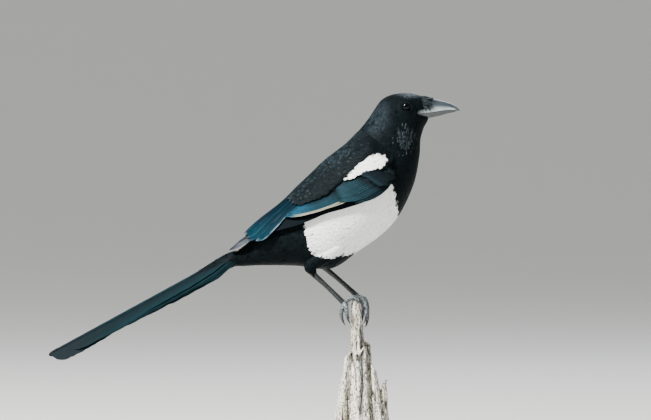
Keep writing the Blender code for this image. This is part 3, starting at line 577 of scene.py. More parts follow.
def scute_material():
    """Leg scales: tough horny skin, dry, darker along the seams between plates, and blotched."""
    made, tree, shader = new_material("scute_skin", {"Specular IOR Level": 0.5})
    place = add(tree, "ShaderNodeTexCoord")
    tint = add(tree, "ShaderNodeAttribute", {"attribute_name": "plumage"})
    plates = add(tree, "ShaderNodeTexVoronoi", {"feature": "DISTANCE_TO_EDGE", "Scale": per_mm(1.1)},
                 {"Vector": (place, "Object")})
    grain = add(tree, "ShaderNodeTexNoise", {"Scale": per_mm(1.3333), "Detail": 3.0},
                {"Vector": (place, "Object")})
    seams = ramp(tree, plates, "Distance", ((0.0, grey(0.45)), (0.12, grey(1.0))))
    blotch = ramp(tree, grain, "Fac", ((0.42, grey(0.3)), (0.58, grey(2.6))))
    first = add(tree, "ShaderNodeMix", {"data_type": "RGBA", "blend_type": "MULTIPLY", 0: 1.0},
                {6: (tint, "Color"), 7: (seams, "Color")})
    second = add(tree, "ShaderNodeMix", {"data_type": "RGBA", "blend_type": "MULTIPLY", 0: 1.0},
                 {6: (first, 2), 7: (blotch, "Color")})
    tree.links.new(second.outputs[2], shader.inputs["Base Color"])
    dull = add(tree, "ShaderNodeMapRange", {"To Min": 0.36, "To Max": 0.6}, {"Value": (grain, "Fac")})
    tree.links.new(dull.outputs[0], shader.inputs["Roughness"])
    bump = add(tree, "ShaderNodeBump", {"Strength": 0.8, "Distance": 0.15 * MM},
               {"Height": (plates, "Distance")})
    tree.links.new(bump.outputs[0], shader.inputs["Normal"])
    return made


scute_skin = scute_material()


def eye_material():
    """A wet eye: near-black iris and pupil under a clear cornea, so one sharp highlight."""
    made, tree, shader = new_material("wet_eye", {
        "Roughness": 0.05, "IOR": 1.38, "Specular IOR Level": 0.3, "Specular Tint": linear("#a9c0d0"),
        "Coat Weight": 0.1, "Coat Roughness": 0.02})
    tint = add(tree, "ShaderNodeAttribute", {"attribute_name": "plumage"})
    tree.links.new(tint.outputs["Color"], shader.inputs["Base Color"])
    return made


wet_eye = eye_material()


def weathered_wood_material():
    """Dead conifer wood bleached by sun: silver-cream ridges of late wood, with painted shade in the cracks
    from the stub's colours.
    """
    made, tree, shader = new_material("weathered_wood", {"Specular IOR Level": 0.25, "Roughness": 0.85})
    place = add(tree, "ShaderNodeTexCoord")
    stretch = add(tree, "ShaderNodeMapping", {"Scale": (1.0, 1.0, 0.07)}, {"Vector": (place, "Object")})
    # Grain lines about 1 mm apart, drawn out along the stub, in broad stains about 5 mm wide.
    grain = add(tree, "ShaderNodeTexNoise", {"Scale": per_mm(1.111), "Detail": 6.0, "Roughness": 0.65},
                {"Vector": (stretch, 0)})
    broad = add(tree, "ShaderNodeTexNoise", {"Scale": per_mm(5.263), "Detail": 4.0},
                {"Vector": (stretch, 0)})
    tint = add(tree, "ShaderNodeAttribute", {"attribute_name": "plumage"})
    lines = ramp(tree, grain, "Fac", ((0.33, linear("#6f6a60")), (0.47, linear("#dcd7ca")),
                                      (0.64, linear("#fffdf6"))))
    stains = ramp(tree, broad, "Fac", ((0.32, linear("#b3aea2")), (0.55, linear("#ffffff"))))
    # Dark pits about 1.3 mm across, where the softer early wood has rotted away.
    longer = add(tree, "ShaderNodeMapping", {"Scale": (1.0, 1.0, 0.5)}, {"Vector": (place, "Object")})
    pitting = add(tree, "ShaderNodeTexNoise", {"Scale": per_mm(1.25), "Detail": 3.0},
                  {"Vector": (longer, 0)})
    pits = ramp(tree, pitting, "Fac", ((0.4, linear("#6b6a68")), (0.49, linear("#ffffff"))))
    first = add(tree, "ShaderNodeMix", {"data_type": "RGBA", "blend_type": "MULTIPLY", 0: 1.0},
                {6: (lines, "Color"), 7: (stains, "Color")})
    second = add(tree, "ShaderNodeMix", {"data_type": "RGBA", "blend_type": "MULTIPLY", 0: 1.0},
                 {6: (first, 2), 7: (tint, "Color")})
    third = add(tree, "ShaderNodeMix", {"data_type": "RGBA", "blend_type": "MULTIPLY", 0: 1.0},
                {6: (second, 2), 7: (pits, "Color")})
    tree.links.new(third.outputs[2], shader.inputs["Base Color"])
    bump = add(tree, "ShaderNodeBump", {"Strength": 0.9, "Distance": 0.5 * MM}, {"Height": (grain, "Fac")})
    tree.links.new(bump.outputs[0], shader.inputs["Normal"])
    return made


weathered_wood = weathered_wood_material()


def stained_wood_material():
    """Turned hardwood with a dark stain under satin lacquer: long straight grain across the disc."""
    made, tree, shader = new_material("stained_wood", {"Coat Weight": 0.35, "Coat Roughness": 0.2})
    place = add(tree, "ShaderNodeTexCoord")
    stretch = add(tree, "ShaderNodeMapping", {"Scale": (0.06, 1.0, 0.6)}, {"Vector": (place, "Object")})
    grain = add(tree, "ShaderNodeTexNoise", {
        "Scale": per_mm(2.381), "Detail": 7.0, "Roughness": 0.62, "Distortion": 0.4},
        {"Vector": (stretch, 0)})
    tones = ramp(tree, grain, "Fac", ((0.3, linear("#1c120c")), (0.5, linear("#3a2517")),
                                      (0.72, linear("#5a3c26"))))
    tree.links.new(tones.outputs["Color"], shader.inputs["Base Color"])
    dull = add(tree, "ShaderNodeMapRange", {"To Min": 0.3, "To Max": 0.5}, {"Value": (grain, "Fac")})
    tree.links.new(dull.outputs[0], shader.inputs["Roughness"])
    bump = add(tree, "ShaderNodeBump", {"Strength": 0.3, "Distance": 0.1 * MM}, {"Height": (grain, "Fac")})
    tree.links.new(bump.outputs[0], shader.inputs["Normal"])
    return made


stained_wood = stained_wood_material()


def brushed_steel_material():
    """Stainless steel rod brushed round its length, so its highlight is drawn out lengthways."""
    made, tree, shader = new_material("brushed_steel", {"Metallic": 1.0, "Base Color": linear("#b8b9bb")})
    place = add(tree, "ShaderNodeTexCoord")
    stretch = add(tree, "ShaderNodeMapping", {"Scale": (1, 1, 30)}, {"Vector": (place, "Object")})
    lines = add(tree, "ShaderNodeTexNoise", {"Scale": per_mm(6.667), "Detail": 3.0},
                {"Vector": (stretch, 0)})
    dull = add(tree, "ShaderNodeMapRange", {"To Min": 0.25, "To Max": 0.45}, {"Value": (lines, "Fac")})
    tree.links.new(dull.outputs[0], shader.inputs["Roughness"])
    return made


brushed_steel = brushed_steel_material()

# Markings, as outlines seen from the side: x and z in millimetres. Both sides carry the same ones.
BELLY_WHITE = (
    (-43.1, 211.6), (-40.1, 200.7), (-38.9, 189.8), (-32.8, 182.6), (-29.8, 181.8), (-24.2, 180.8),
    (-17.9, 180.1), (-12.1, 182.0), (-7.0, 183.2), (0.3, 183.8), (3.7, 185.6), (20.0, 165.0), (70.0, 190.0),
    (45.1, 217.6), (43.3, 229.7), (40.9, 241.8), (39.7, 250.0), (28.0, 246.5), (11.0, 239.0),
    (-12.0, 231.0), (-44.5, 218.0),
)
SHOULDER_WHITE = (
    (-4.8, 253.3), (4.7, 255.0), (11.6, 259.0), (19.8, 261.2), (27.0, 263.5), (31.0, 266.6), (34.4, 271.6),
    (31.0, 275.2), (24.6, 276.2), (16.3, 273.0), (9.3, 267.8), (4.7, 263.5), (0.0, 258.8),
)
BLACK, BLACK_SOFT = shade("#06090b"), shade("#0b1114")
WHITE, WHITE_SHADE = shade("#f6f7f7"), shade("#e2e8ec")


def inside_share(spots, outline, soft, grow=0.0):
    """1 inside an outline seen from the side, grown by some millimetres, and 0 outside its soft edge."""
    x, z = spots[..., 0], spots[..., 2]
    nearest, inside = np.full(x.shape, 1e9), np.zeros(x.shape, bool)
    for (x0, z0), (x1, z1) in zip(outline, outline[1:] + outline[:1]):
        run, rise = x1 - x0, z1 - z0
        t = np.clip(((x - x0) * run + (z - z0) * rise) / (run * run + rise * rise), 0, 1)
        nearest = np.minimum(nearest, np.hypot(x - x0 - t * run, z - z0 - t * rise))
        inside ^= ((z0 > z) != (z1 > z)) & (x < x0 + (z - z0) * run / (rise or 1e-9))
    return smooth_step(np.where(inside, nearest, -nearest) + grow, -soft, soft)


def blend(first, second, share):
    return first * (1 - share) + second * share


def tip_spots(points, t):
    """Where the outer, visible half of each feather lies."""
    outer = (t > 0.6)[..., None]
    return (points * outer).sum(1) / outer.sum(1)


def glow(spots, middle, reach):
    """A soft round patch seen from the side: 1 at its middle and 0 beyond its reach."""
    off = np.hypot((spots[..., 0] - middle[0]) / reach[0], (spots[..., 2] - middle[1]) / reach[1])
    return 1 - smooth_step(off, 0.2, 1.0)


# Where the throat's silver streaks lie, and where the painted sheen of the nape and the painted highlight
# of the crown lie.
THROAT_STREAKS = ((51.0, 290.0), (13.0, 17.0))
NAPE_PAINTED_SHEEN = ((24.0, 312.0), (17.0, 24.0))
CROWN_PAINTED_HIGHLIGHT = ((57.0, 334.5), (19.0, 7.0))
# Silver serves the throat's streaks and the crown's painted highlight. The sheen grey is painted sheen, and
# the worn grey is partly wear, partly painted sheen.
SILVER_STREAK_AND_HIGHLIGHT, PAINTED_SHEEN_GREY, WORN_AND_SHEEN_GREY = shade("#5c686e"), shade("#28343a"), shade("#434f55")
SLATE, BRISTLE_GREY = shade("#28353b"), shade("#5d686e")


def coat_tuft_colour(points, roots, t, s, draw):
    """Black or white by where a feather's tip lies. The throat has silver shaft streaks, and nape and
    crown have a greyer painted sheen, with a painted highlight along the crown's top."""
    count = len(roots)
    spots = tip_spots(points, t) + draw.normal(0, 0.55, (count, 3))
    white = inside_share(spots, BELLY_WHITE, 0.5)[:, None, None]
    tone = draw.uniform(0, 1, count)[:, None, None]
    dark = blend(BLACK, BLACK_SOFT, tone)
    # Painted sheen: nape feathers turn greyer.
    nape = (glow(spots, *NAPE_PAINTED_SHEEN) * draw.uniform(0.0, 0.7, count))[:, None, None]
    dark = blend(dark, PAINTED_SHEEN_GREY, nape)
    # Painted highlight: feathers on the crown's top turn towards silver.
    crown = (glow(spots, *CROWN_PAINTED_HIGHLIGHT) * draw.uniform(0.1, 0.75, count))[:, None] * smooth_step(t, 0.2, 0.8)
    dark = blend(dark, SILVER_STREAK_AND_HIGHLIGHT, crown[..., None])
    chosen = draw.uniform(0.1, 1, count) * (draw.uniform(0, 1, count) < glow(spots, *THROAT_STREAKS))
    shaft = smooth_step(t, 0.2, 0.7) * (1 - smooth_step(np.abs(s), 0.1, 0.5))
    dark = blend(dark, SILVER_STREAK_AND_HIGHLIGHT, (chosen[:, None] * shaft * 0.5)[..., None])
    # White feathers darken a little towards their roots: partly their own grey bases, partly painted shade
    # under the feathers over them.
    light = blend(WHITE, WHITE_SHADE, 0.3 * tone) * (0.94 + 0.06 * smooth_step(t, 0.0, 0.7))[..., None]
    return blend(dark, light, white)


def unwrap_body(roots):
    """The skin unwrapped round its own length."""
    return np.stack([((roots[:, 1] + 90) % 360) / 360, (roots[:, 0] + 2) / 17], 1) * 0.98 + 0.01


def clear_of_eyes(points):
    kept = np.ones(len(points), bool)
    for _, centre, outward in eye_places():
        axial, radial = from_axis(points, centre, outward)
        kept &= ~((radial < LID_RADIUS) & (axial > 0)).any(axis=1)
    return kept


# The bill's bare sides: from this far forward, and between the jaws' feathers.
GAPE_FRONT = 62.5
GAPE_TOP = 318.4


def gape_low(x):
    return np.interp(x, (GAPE_FRONT, 66.0, 71.0), (313.2, 311.8, 310.4))


def clear_of_gape(points):
    """Leaves the bill's sides bare from the corner of the mouth onwards."""
    x, z = points[..., 0], points[..., 2]
    inside = (x > GAPE_FRONT) & (z > gape_low(x)) & (z < GAPE_TOP)
    return ~(inside & (np.abs(points[..., 1]) > 3)).any(axis=1)


def clear_of_face(points):
    return clear_of_eyes(points) & clear_of_gape(points)


# The skin: one closed surface under the coat.
HIP, KNEE = (-4.0, 14.0, 198.0), (-15.0, 17.0, 190.0)
THIGH_RADII = (8.0, 9.8, 6.6, 3.7)
SHIN_SHARE = 0.78
# The feather cuff and the bare shank under it lie a little forward of the ankle's middle.
CUFF_SHIFT = (1.6, 0.0, 1.1)
SHANK_TOP_SHIFT = (1.8, 0.0, 0.4)
# hidden is how much of each shank the cuff covers.
LEGS = {
    "right": {"side": -1, "ankle": (-41.6, -17.0, 170.3), "foot": (-5.6, -6.0, 138.4), "hidden": 7.5},
    "left": {"side": 1, "ankle": (-31.5, 17.0, 175.8), "foot": (7.0, 6.0, 144.8), "hidden": 8.5},
}


def route_rings(route, radii, steps, sides, flat=1.0, shape=None):
    """Rings round a smooth route of points, each square to it. shape(place, turn) scales the radius."""
    rows = [(*point, radius) for point, radius in zip(route, radii)]
    last = len(rows) - 1
    places = np.linspace(0, last, steps + 1)
    values = rows_at(rows, places)
    heading = unit(rows_at(rows, places + 0.02)[:, :3] - rows_at(rows, places - 0.02)[:, :3])
    rings, across = [], None
    turn = np.arange(sides) * 2 * math.pi / sides
    for i in range(steps + 1):
        if across is None:
            across = np.cross((0, 0, 1), heading[i])
            if np.linalg.norm(across) < 0.2:
                across = np.cross((0, 1, 0), heading[i])
        across = unit(across - heading[i] * (across @ heading[i]))
        up = np.cross(heading[i], across)
        radius = values[i, 3] * (shape(places[i], turn) if shape else 1.0)
        ring = np.outer(np.cos(turn) * radius * flat, across) + np.outer(np.sin(turn) * radius, up)
        rings.append(values[i, :3] + ring)
    return np.array(rings)


def thigh_route(leg):
    side, ankle, foot = leg["side"], np.array(leg["ankle"]), np.array(leg["foot"])
    run = unit(foot - ankle)
    hip = np.array(HIP) * (1, side, 1)
    knee = np.array(KNEE) * (1, side, 1)
    cuff = ankle + run * leg["hidden"] + np.array(CUFF_SHIFT)
    return [hip, knee, knee + (ankle - knee) * SHIN_SHARE, cuff]


PAD_LOW = ((3.6, 30), (4.5, 7), (5.4, -11), (6.2, -21), (6.85, -24))
PAD_HIGH = ((3.5, 78), (4.4, 77), (5.4, 68), (6.4, 40), (7.05, 7))
PAD_THICK = 3.3


def pad_at(share, across, out=0.0, side=1):
    """The wing's wrist and forearm: share runs from rear to wrist, across from lower to upper edge."""
    share, across, out = np.broadcast_arrays(share, across, out)
    low, high = (rows_at(edge, np.clip(share, -0.1, 1.1) * 4) for edge in (PAD_LOW, PAD_HIGH))
    spot = low + (high - low) * across[..., None]
    s, a = np.clip(share, 0.001, 0.999), np.clip(across, 0.001, 0.999)
    dome = (4 * s * (1 - s)) ** 0.22 * (4 * a * (1 - a)) ** 0.25
    points = shell_at(spot[..., 0], spot[..., 1], 1.0 + PAD_THICK * dome + out)
    return points * (1, side, 1)


# The mantle and scapulars lie over the roots of the wings: their lower edge by (section, angle), and
# their rise over the shell at its lower edge, half way up and on the back.
MANTLE_EDGE = ((3.15, 88), (3.2, 60), (3.26, 44.4), (3.46, 36.5), (3.8, 29.9), (4.07, 25.6), (4.38, 24.4),
               (4.81, 24.3), (5.09, 22.4), (5.28, 19), (5.57, 16.1), (5.84, 15.4), (6.16, 9.6), (6.46, 2.9),
               (6.76, -2.4), (7.05, -4))
MANTLE_PLACES = (3.2, 4.2, 5.0, 5.8, 6.4, 6.8, 7.3)
MANTLE_RISES = (
    (7.0, 6.6, 6.6, 6.4, 6.0, 5.0, -0.2),
    (6.0, 5.0, 3.6, 2.8, 1.9, 0.9, -0.7),
    (3.4, 1.4, -0.1, -0.4, -0.5, -0.6, -1.0),
)


def mantle_at(place, angle, out=0.0):
    side = folded(angle)
    low, middle, back = (np.interp(place, MANTLE_PLACES, row) for row in MANTLE_RISES)
    rise = low + (middle - low) * smooth_step(side, 22, 58) + (back - middle) * smooth_step(side, 58, 90)
    return shell_at(place, angle, rise + out)


def above_mantle_edge(place, angle, margin=0.0):
    edge = np.interp(place, *zip(*MANTLE_EDGE))
    return (place > MANTLE_EDGE[0][0]) & (folded(angle) > edge + margin)


SKIN_RINGS, SKIN_SIDES = 110, 48
THIGH_COAT = 1.4
SKIN_VOXEL_MM = 1.2


def both_sides(upper, lower):
    return np.concatenate([upper.reshape(-1, 3), lower.reshape(-1, 3)])


def body_part():
    places = np.linspace(-0.2, 14.0, SKIN_RINGS)
    turns = np.arange(SKIN_SIDES) * 360 / SKIN_SIDES + 3.75
    rings = head_at(places[:, None], turns[None, :], -coat_depth(places)[:, None])
    return loft_points(rings), loft_faces(SKIN_RINGS, SKIN_SIDES)


def thigh_part(leg):
    rings = route_rings(thigh_route(leg), [r - THIGH_COAT for r in THIGH_RADII], 30, 24)
    return loft_points(rings), loft_faces(31, 24)


def pad_part(side):
    s, a = np.meshgrid(np.linspace(0.02, 0.98, 24), np.linspace(0.03, 0.97, 16), indexing="ij")
    return both_sides(pad_at(s, a, -0.9, side), pad_at(s, a, -5.5, side)), slab_faces(24, 16)


def mantle_part():
    s, a = np.meshgrid(np.linspace(3.5, 7.1, 30), np.linspace(0, 1, 60), indexing="ij")
    edge = np.interp(s, *zip(*MANTLE_EDGE)) + 4
    turned = edge + (180 - 2 * edge) * a
    return both_sides(mantle_at(s, turned, -1.7), shell_at(s, turned, -5.0)), slab_faces(30, 60)


def dish_at_eyes(points):
    """Sinks the skin behind each eyeball, so that the eye lies in a shallow socket."""
    for _, centre, outward in eye_places():
        axial, radial = from_axis(points, centre, outward)
        dish = (radial < 5.2) & (axial > 0)
        deep = np.minimum(axial, 2.3 + 1.4 * smooth_step(radial, 4.0, 5.2))
        points[dish] += ((deep - axial)[:, None] * outward)[dish]


def stand_back_at_gape(points):
    """Between the jaws' feathers the skin stands back, so that the bill's sides show."""
    x, z = points[:, 0], points[:, 2]
    at_gape = smooth_step(x, GAPE_FRONT - 1.5, GAPE_FRONT + 0.5)
    at_gape *= smooth_step(z - gape_low(x), -1.2, 0) * smooth_step(GAPE_TOP - z, -1.2, 0)
    bare = np.interp(x, (60.5, 66.0, 71.5, 77.0), (8.0, 7.3, 6.2, 5.0))
    narrow = np.minimum(np.abs(points[:, 1]), bare) * np.sign(points[:, 1])
    points[:, 1] += (narrow - points[:, 1]) * at_gape


def unwrap_skin(mesh, points):
    """Gives each skin point the bake place of the nearest place on the body's surface."""
    places, turns = np.meshgrid(np.linspace(-0.2, 14, 240), np.arange(-180, 180, 4.0), indexing="ij")
    samples = body_at(places, turns, -1.5).reshape(-1, 3)
    tree = kdtree.KDTree(len(samples))
    for i, spot in enumerate(samples):
        tree.insert(spot, i)
    tree.balance()
    nearest = np.array([tree.find(spot)[1] for spot in points])
    spots = unwrap_body(np.stack([places.ravel()[nearest], turns.ravel()[nearest]], 1))
    index = np.empty(len(mesh.loops), int)
    mesh.loops.foreach_get("vertex_index", index)
    mesh.uv_layers.new(name="OFBake").data.foreach_set("uv", spots[index].ravel())


def make_skin():
    """Body, thighs, wrists and mantle as overlapping closed parts, remeshed into one surface."""
    parts = [body_part(), *map(thigh_part, LEGS.values()), pad_part(1), pad_part(-1), mantle_part()]
    skin = closed_mesh("skin", *joined(parts), feathered_skin, sharp=0)
    select_only(skin)
    finish_with(skin, "REMESH", mode="VOXEL", voxel_size=SKIN_VOXEL_MM * MM)
    finish_with(skin, "SMOOTH", iterations=6, factor=0.5)
    mesh = skin.data
    points = points_of(mesh)
    dish_at_eyes(points)
    stand_back_at_gape(points)
    move_points(mesh, points)
    colours = blend(BLACK, WHITE, inside_share(points, BELLY_WHITE, 0.6)[:, None])
    patch = inside_share(points, SHOULDER_WHITE, 0.6) * (np.abs(points[:, 1]) > 8)
    paint(mesh, blend(colours, WHITE, patch[:, None]))
    unwrap_skin(mesh, points)
    mesh.shade_smooth()
    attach(skin, "root")


make_skin()

# The body's coat leaves out what the wings and the mantle cover.
WING_LOW_EDGE = ((2.79, 27.8), (3.15, 20.1), (3.86, 7.8), (4.66, -4.7), (5.38, -15.4), (6.04, -24.5),
                 (6.64, -25))


def not_under_wing(place, angle):
    a = folded(angle)
    low = np.interp(place, *zip(*WING_LOW_EDGE))
    high = np.interp(place, *zip(*PAD_HIGH))
    covered = (place > 2.9) & (place < 6.85) & (a > low + 9) & (a < high - 8)
    covered |= (place > 3.6) & (place < 6.95) & above_mantle_edge(place, angle, 6)
    return ~covered


def tuft_length(place):
    return np.interp(place, (0, 2, 6, 8, 9.5, 11, 12.5, 14), (9.0, 9.0, 9.0, 7.5, 5.8, 4.4, 3.4, 2.6))


def spacing_at(place, angle):
    gap = np.interp(place, (0, 6, 8, 9.5, 11, 12.5, 14), (2.0, 1.7, 1.35, 1.0, 0.8, 0.7, 0.65))
    return gap + 0 * angle


def anywhere(a, b):
    return np.ones(np.shape(a), bool)


def even(gap):
    """A spacing in millimetres that is the same all over."""
    return lambda a, b: np.full(np.shape(a), gap)


# Each part of the coat: its first and last section. The head's tufts are the smallest.
COAT_PARTS = {"coat_rump": (-0.6, 2.9), "coat_belly": (2.9, 5.0), "coat_breast": (5.0, 7.4),
              "coat_neck": (7.4, 9.7), "coat_crown": (9.7, 11.7), "coat_face": (11.7, 13.95)}
HEAD_START = 9
REPLACED = {"coat_rump": ("torso",), "coat_neck": ("neck",), "coat_face": ("head",)}
# How far apart a surface is sampled for its slopes, in its own two measures.
BODY_STEPS, PAD_STEPS, CONE_STEPS = (0.05, 2.0), (0.01, 0.01), (0.02, 2.0)

for number, (name, (start, end)) in enumerate(COAT_PARTS.items()):
    on_head = start > HEAD_START
    surface = head_at if on_head else body_at
    roots = scatter(surface, BODY_STEPS, (start, -90), (end, 270), not_under_wing, spacing_at, number)
    place = roots[:, 0]
    length = tuft_length(place)
    vane_widths = length * np.interp(place, (6, 9), (0.42, 0.33))
    made = tuft_piece(name, surface, roots, BODY_STEPS, length, vane_widths,
                      -coat_depth(place) - 0.25, -0.35, coat_tuft_colour, unwrap_body,
                      form=SMALL_TUFT if on_head else FINE_TUFT, seed=number,
                      crown=np.interp(place, (7, 12), (0.16, 0.1)), keep=clear_of_face if on_head else None)
    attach(made, "root")
    if name in REPLACED:
        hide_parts(*REPLACED[name])

# Small feathers by region: length, width, and the heights of roots and tips over the coat's surface.
THIGH_TUFT = {"length": 6.0, "width": 3.0, "low": -1.6, "high": -0.15}
WRIST_TUFT = {"length": 6.5, "width": 4.2, "low": -1.2, "high": 0.15}
MANTLE_TUFT = {"length": 9.0, "width": 3.4, "low": -1.9, "high": 0.0}
TAIL_TUFT = {"length": 10.0, "width": 5.0, "low": -1.8, "high": 0.0}
THIGH_LEAST = 1.8


def thigh_surface(leg):
    """One thigh's surface: share runs up from the cuff to the flank, and turn goes round."""
    rows = np.column_stack([np.array(thigh_route(leg)), THIGH_RADII])

    def thigh_at(share, turn, out=0.0):
        share, turn, out = np.broadcast_arrays(share, turn, out)
        value = rows_at(rows, 3 - share)
        radius = np.maximum(value[..., 3], THIGH_LEAST) + out
        ahead = unit(rows_at(rows, 3 - share + 0.02)[..., :3] - rows_at(rows, 3 - share - 0.02)[..., :3])
        across = unit(np.cross((0.0, 1.0, 0.0), ahead))
        up = np.cross(ahead, across)
        turned = np.radians(turn)[..., None]
        return value[..., :3] + (across * np.cos(turned) + up * np.sin(turned)) * radius[..., None]

    return thigh_at


def unwrap_thigh(roots):
    return np.stack([roots[:, 1] / 360, roots[:, 0] / 3], 1) * 0.96 + 0.02


# Thigh feathers lie down the leg from the flank to the ankle.
for word, leg in LEGS.items():
    surface = thigh_surface(leg)
    roots = scatter(surface, BODY_STEPS, (0.5, 0), (2.7, 360), anywhere, even(1.5), 20 + leg["side"])
    made = tuft_piece(f"coat_thigh_{word}", surface, roots, BODY_STEPS, **THIGH_TUFT, turn=12,
                      colour=coat_tuft_colour, unwrap=unwrap_thigh, seed=30 + leg["side"])
    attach(made, "root")
    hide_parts(f"thigh_{word}")

# The folded wings. low and high are the centre lines of the feathers nearest the belly and the back, each
# four places (section, angle) on the shell from root to tip, and the rest lie evenly between. webs are
# the half widths, tip is where a vane starts to round off, and each vane lies a pitch over the next.
SOLID_PITCH = 0.82
ROOT_HEIGHT = 1.7
LEAST_GAP = 1.8
MOST_COVER = 3.0
ROOT_SHARE = 0.28
VANE_THICK = 0.26
SHAFT_RISE = 0.22
WING_GROUPS = {
    "primary": {"count": 9, "solid_count": 5, "low": ((6.35, -20), (4.6, 0), (2.7, 27), (0.75, 38)),
                "high": ((5.4, 4), (4.1, 26), (2.7, 48), (1.5, 58)), "webs": (3.4, 5.0),
                "reach": (0.95, 15.0), "floor": (0.9, 0.6), "tip": 0.93},
    "secondary": {"count": 9, "solid_count": 5, "low": ((6.2, -9), (5.0, 1.5), (3.9, 14), (2.85, 36)),
                  "high": ((4.9, 17), (4.4, 18.5), (3.8, 23), (3.22, 38)), "webs": (2.6, 4.6),
                  "reach": (0.0, 0.0), "floor": (1.6, 3.5), "tip": 0.88},
    "tertial": {"count": 5, "solid_count": 4, "low": ((4.4, 46), (3.4, 50), (2.7, 46), (1.6, 24)),
                "high": ((4.5, 78), (3.4, 80), (2.2, 79), (1.1, 66)), "webs": (5.5, 6.0),
                "reach": (0.3, -5.0), "floor": (2.4, 3.4), "tip": 0.72},
    "greater_covert": {"count": 10, "solid_count": 5, "low": ((6.4, -12), (5.9, -8), (5.2, -3), (4.5, 6)),
                       "high": ((5.9, 10), (5.5, 14), (5.1, 17.5), (4.65, 19)), "webs": (3.0, 3.4),
                       "reach": (0.0, 0.0), "floor": (2.6, 4.4), "tip": 0.7},
    "primary_covert": {"count": 7, "solid_count": 3, "low": ((6.6, -21), (6.1, -17), (5.5, -12), (4.9, -5)),
                       "high": ((6.5, -14), (6.0, -10), (5.45, -6), (4.95, 0)), "webs": (2.0, 2.6),
                       "reach": (0.0, 0.0), "floor": (2.0, 3.2), "tip": 0.75},
    "median_covert": {"count": 9, "solid_count": 5, "low": ((6.8, -17), (6.55, -14), (6.3, -11), (6.0, -8)),
                      "high": ((6.5, 4), (6.25, 7), (6.0, 10), (5.7, 14)), "webs": (2.8, 3.0),
                      "reach": (0.0, 0.0), "floor": (2.4, 5.2), "tip": 0.55},
}


def group_line(group, share):
    low, high = np.array(group["low"], float), np.array(group["high"], float)
    line = low + (high - low) * share
    bow = math.sin(math.pi * min(1.0, share + 0.12) ** 0.8)
    line[3] += (-group["reach"][0] * bow, group["reach"][1] * bow)
    return line


def edge_angle(line, place):
    """The angle at which a centre line passes each section."""
    samples = rows_at(line, np.linspace(-0.5, 3.5, 160))
    order = np.argsort(samples[:, 0])
    return np.interp(place, samples[order, 0], samples[order, 1])


def layer_height(group, index, place, angle, reach):
    """Height of a vane over the shell: a pitch above its neighbour on the belly side."""
    first, last = edge_angle(group["low"], place), edge_angle(group["high"], place)
    middle = (first + last) / 2
    ring = np.linalg.norm(shell_at(place, middle + 1) - shell_at(place, middle), axis=-1)
    gaps, solid_gaps = group["count"] - 1, group["solid_count"] - 1
    spacing = np.maximum((last - first) / gaps, LEAST_GAP / ring * solid_gaps / gaps)
    nearest = (angle - first) / spacing
    cover = np.minimum(group["webs"][1] / (spacing * ring), MOST_COVER * gaps / solid_gaps)
    root_place, tip_place = group["low"][0][0], group["low"][3][0]
    share = np.clip((root_place - place) / (root_place - tip_place), 0, 1)
    floor = group["floor"][0] + (group["floor"][1] - group["floor"][0]) * share
    full = floor + SOLID_PITCH * solid_gaps / gaps * (index - nearest + cover)
    return ROOT_HEIGHT + (full - ROOT_HEIGHT) * np.minimum(1.0, reach / ROOT_SHARE)


def blade_width(t, tip_round):
    quill = np.minimum(1.0, 0.45 + 2.2 * t)
    past = np.clip((t - tip_round) / (1 - tip_round), 0, 1)
    return quill * np.maximum(0.12, np.sqrt(1 - past ** 2.2))


VANE_COLUMNS = np.array((-1.0, -0.72, -0.4, -0.07, 0.0, 0.07, 0.4, 0.72, 1.0))
FEATHER_COLOURS = {
    "primary": ("#06080a", "#080b0d", "#0d1114"),
    "secondary": ("#0b1418", "#10232a", "#173b4e"),
    "tertial": ("#060e13", "#081a24", "#0b2733"),
    "greater_covert": ("#0d1214", "#142126", "#1b2f35"),
    "primary_covert": ("#0c1316", "#111d21", "#17272c"),
    "median_covert": ("#0d1114", "#11181c", "#19272d"),
}


def feather_colour(name, share, place, t, s, draw):
    """Colours of one feather: from its root to its tip, with the paler or worn edge that its group has.
    Covered webs carry painted shade, and roots partly too; secondaries and greater coverts get a painted
    highlight on their lower edge.
    """
    root, middle, tip = (shade(c) for c in FEATHER_COLOURS[name])
    # Darker towards the root: partly the feather's own matt base, partly painted shade under the feathers
    # over it.
    colour = blend(root, middle, smooth_step(t, 0.15, 0.6)[..., None])
    colour = blend(colour, tip, smooth_step(t, 0.66, 0.97)[..., None]) * draw.uniform(0.8, 1.2)
    low_edge = smooth_step(-s, 0.72, 0.98)
    # The web that the next feather covers is darker, painted shade under that neighbour, which draws each
    # feather apart from it.
    colour = colour * (0.5 + 0.5 * smooth_step(-s, -0.75, 0.45))[..., None]
    # Painted highlight: a lighter line along the exposed lower edge of secondaries and greater coverts.
    if name in ("secondary", "greater_covert"):
        colour = blend(colour, shade("#29505e"), (low_edge * smooth_step(t, 0.2, 0.5) * 0.4)[..., None])
    if name == "secondary" and share < 0.3:
        # The lowest secondaries have a thin cream edge.
        cream = smooth_step(-s, 0.86, 0.98) * smooth_step(t, 0.3, 0.5)
        colour = blend(colour, shade("#a5a491"), cream[..., None])
    if name == "tertial":
        # Only the lowest tertial shows its frayed pale fringe.
        fringe = np.maximum(smooth_step(t, 0.95, 1.0), low_edge * smooth_step(t, 0.45, 0.75))
        fringe = fringe * (1.0 if share < 0.2 else 0.12) * draw.uniform(0.0, 0.9, t.shape)
        colour = blend(colour, shade("#6f8f99"), fringe[..., None])
    if name == "primary":
        tips = smooth_step(-place, -1.35, -0.9)
        colour = blend(colour, shade("#2b3038"), (tips * 0.85)[..., None])
        colour = blend(colour, shade("#6c7078"), (low_edge * tips * (share < 0.5) * 0.8)[..., None])
    return colour


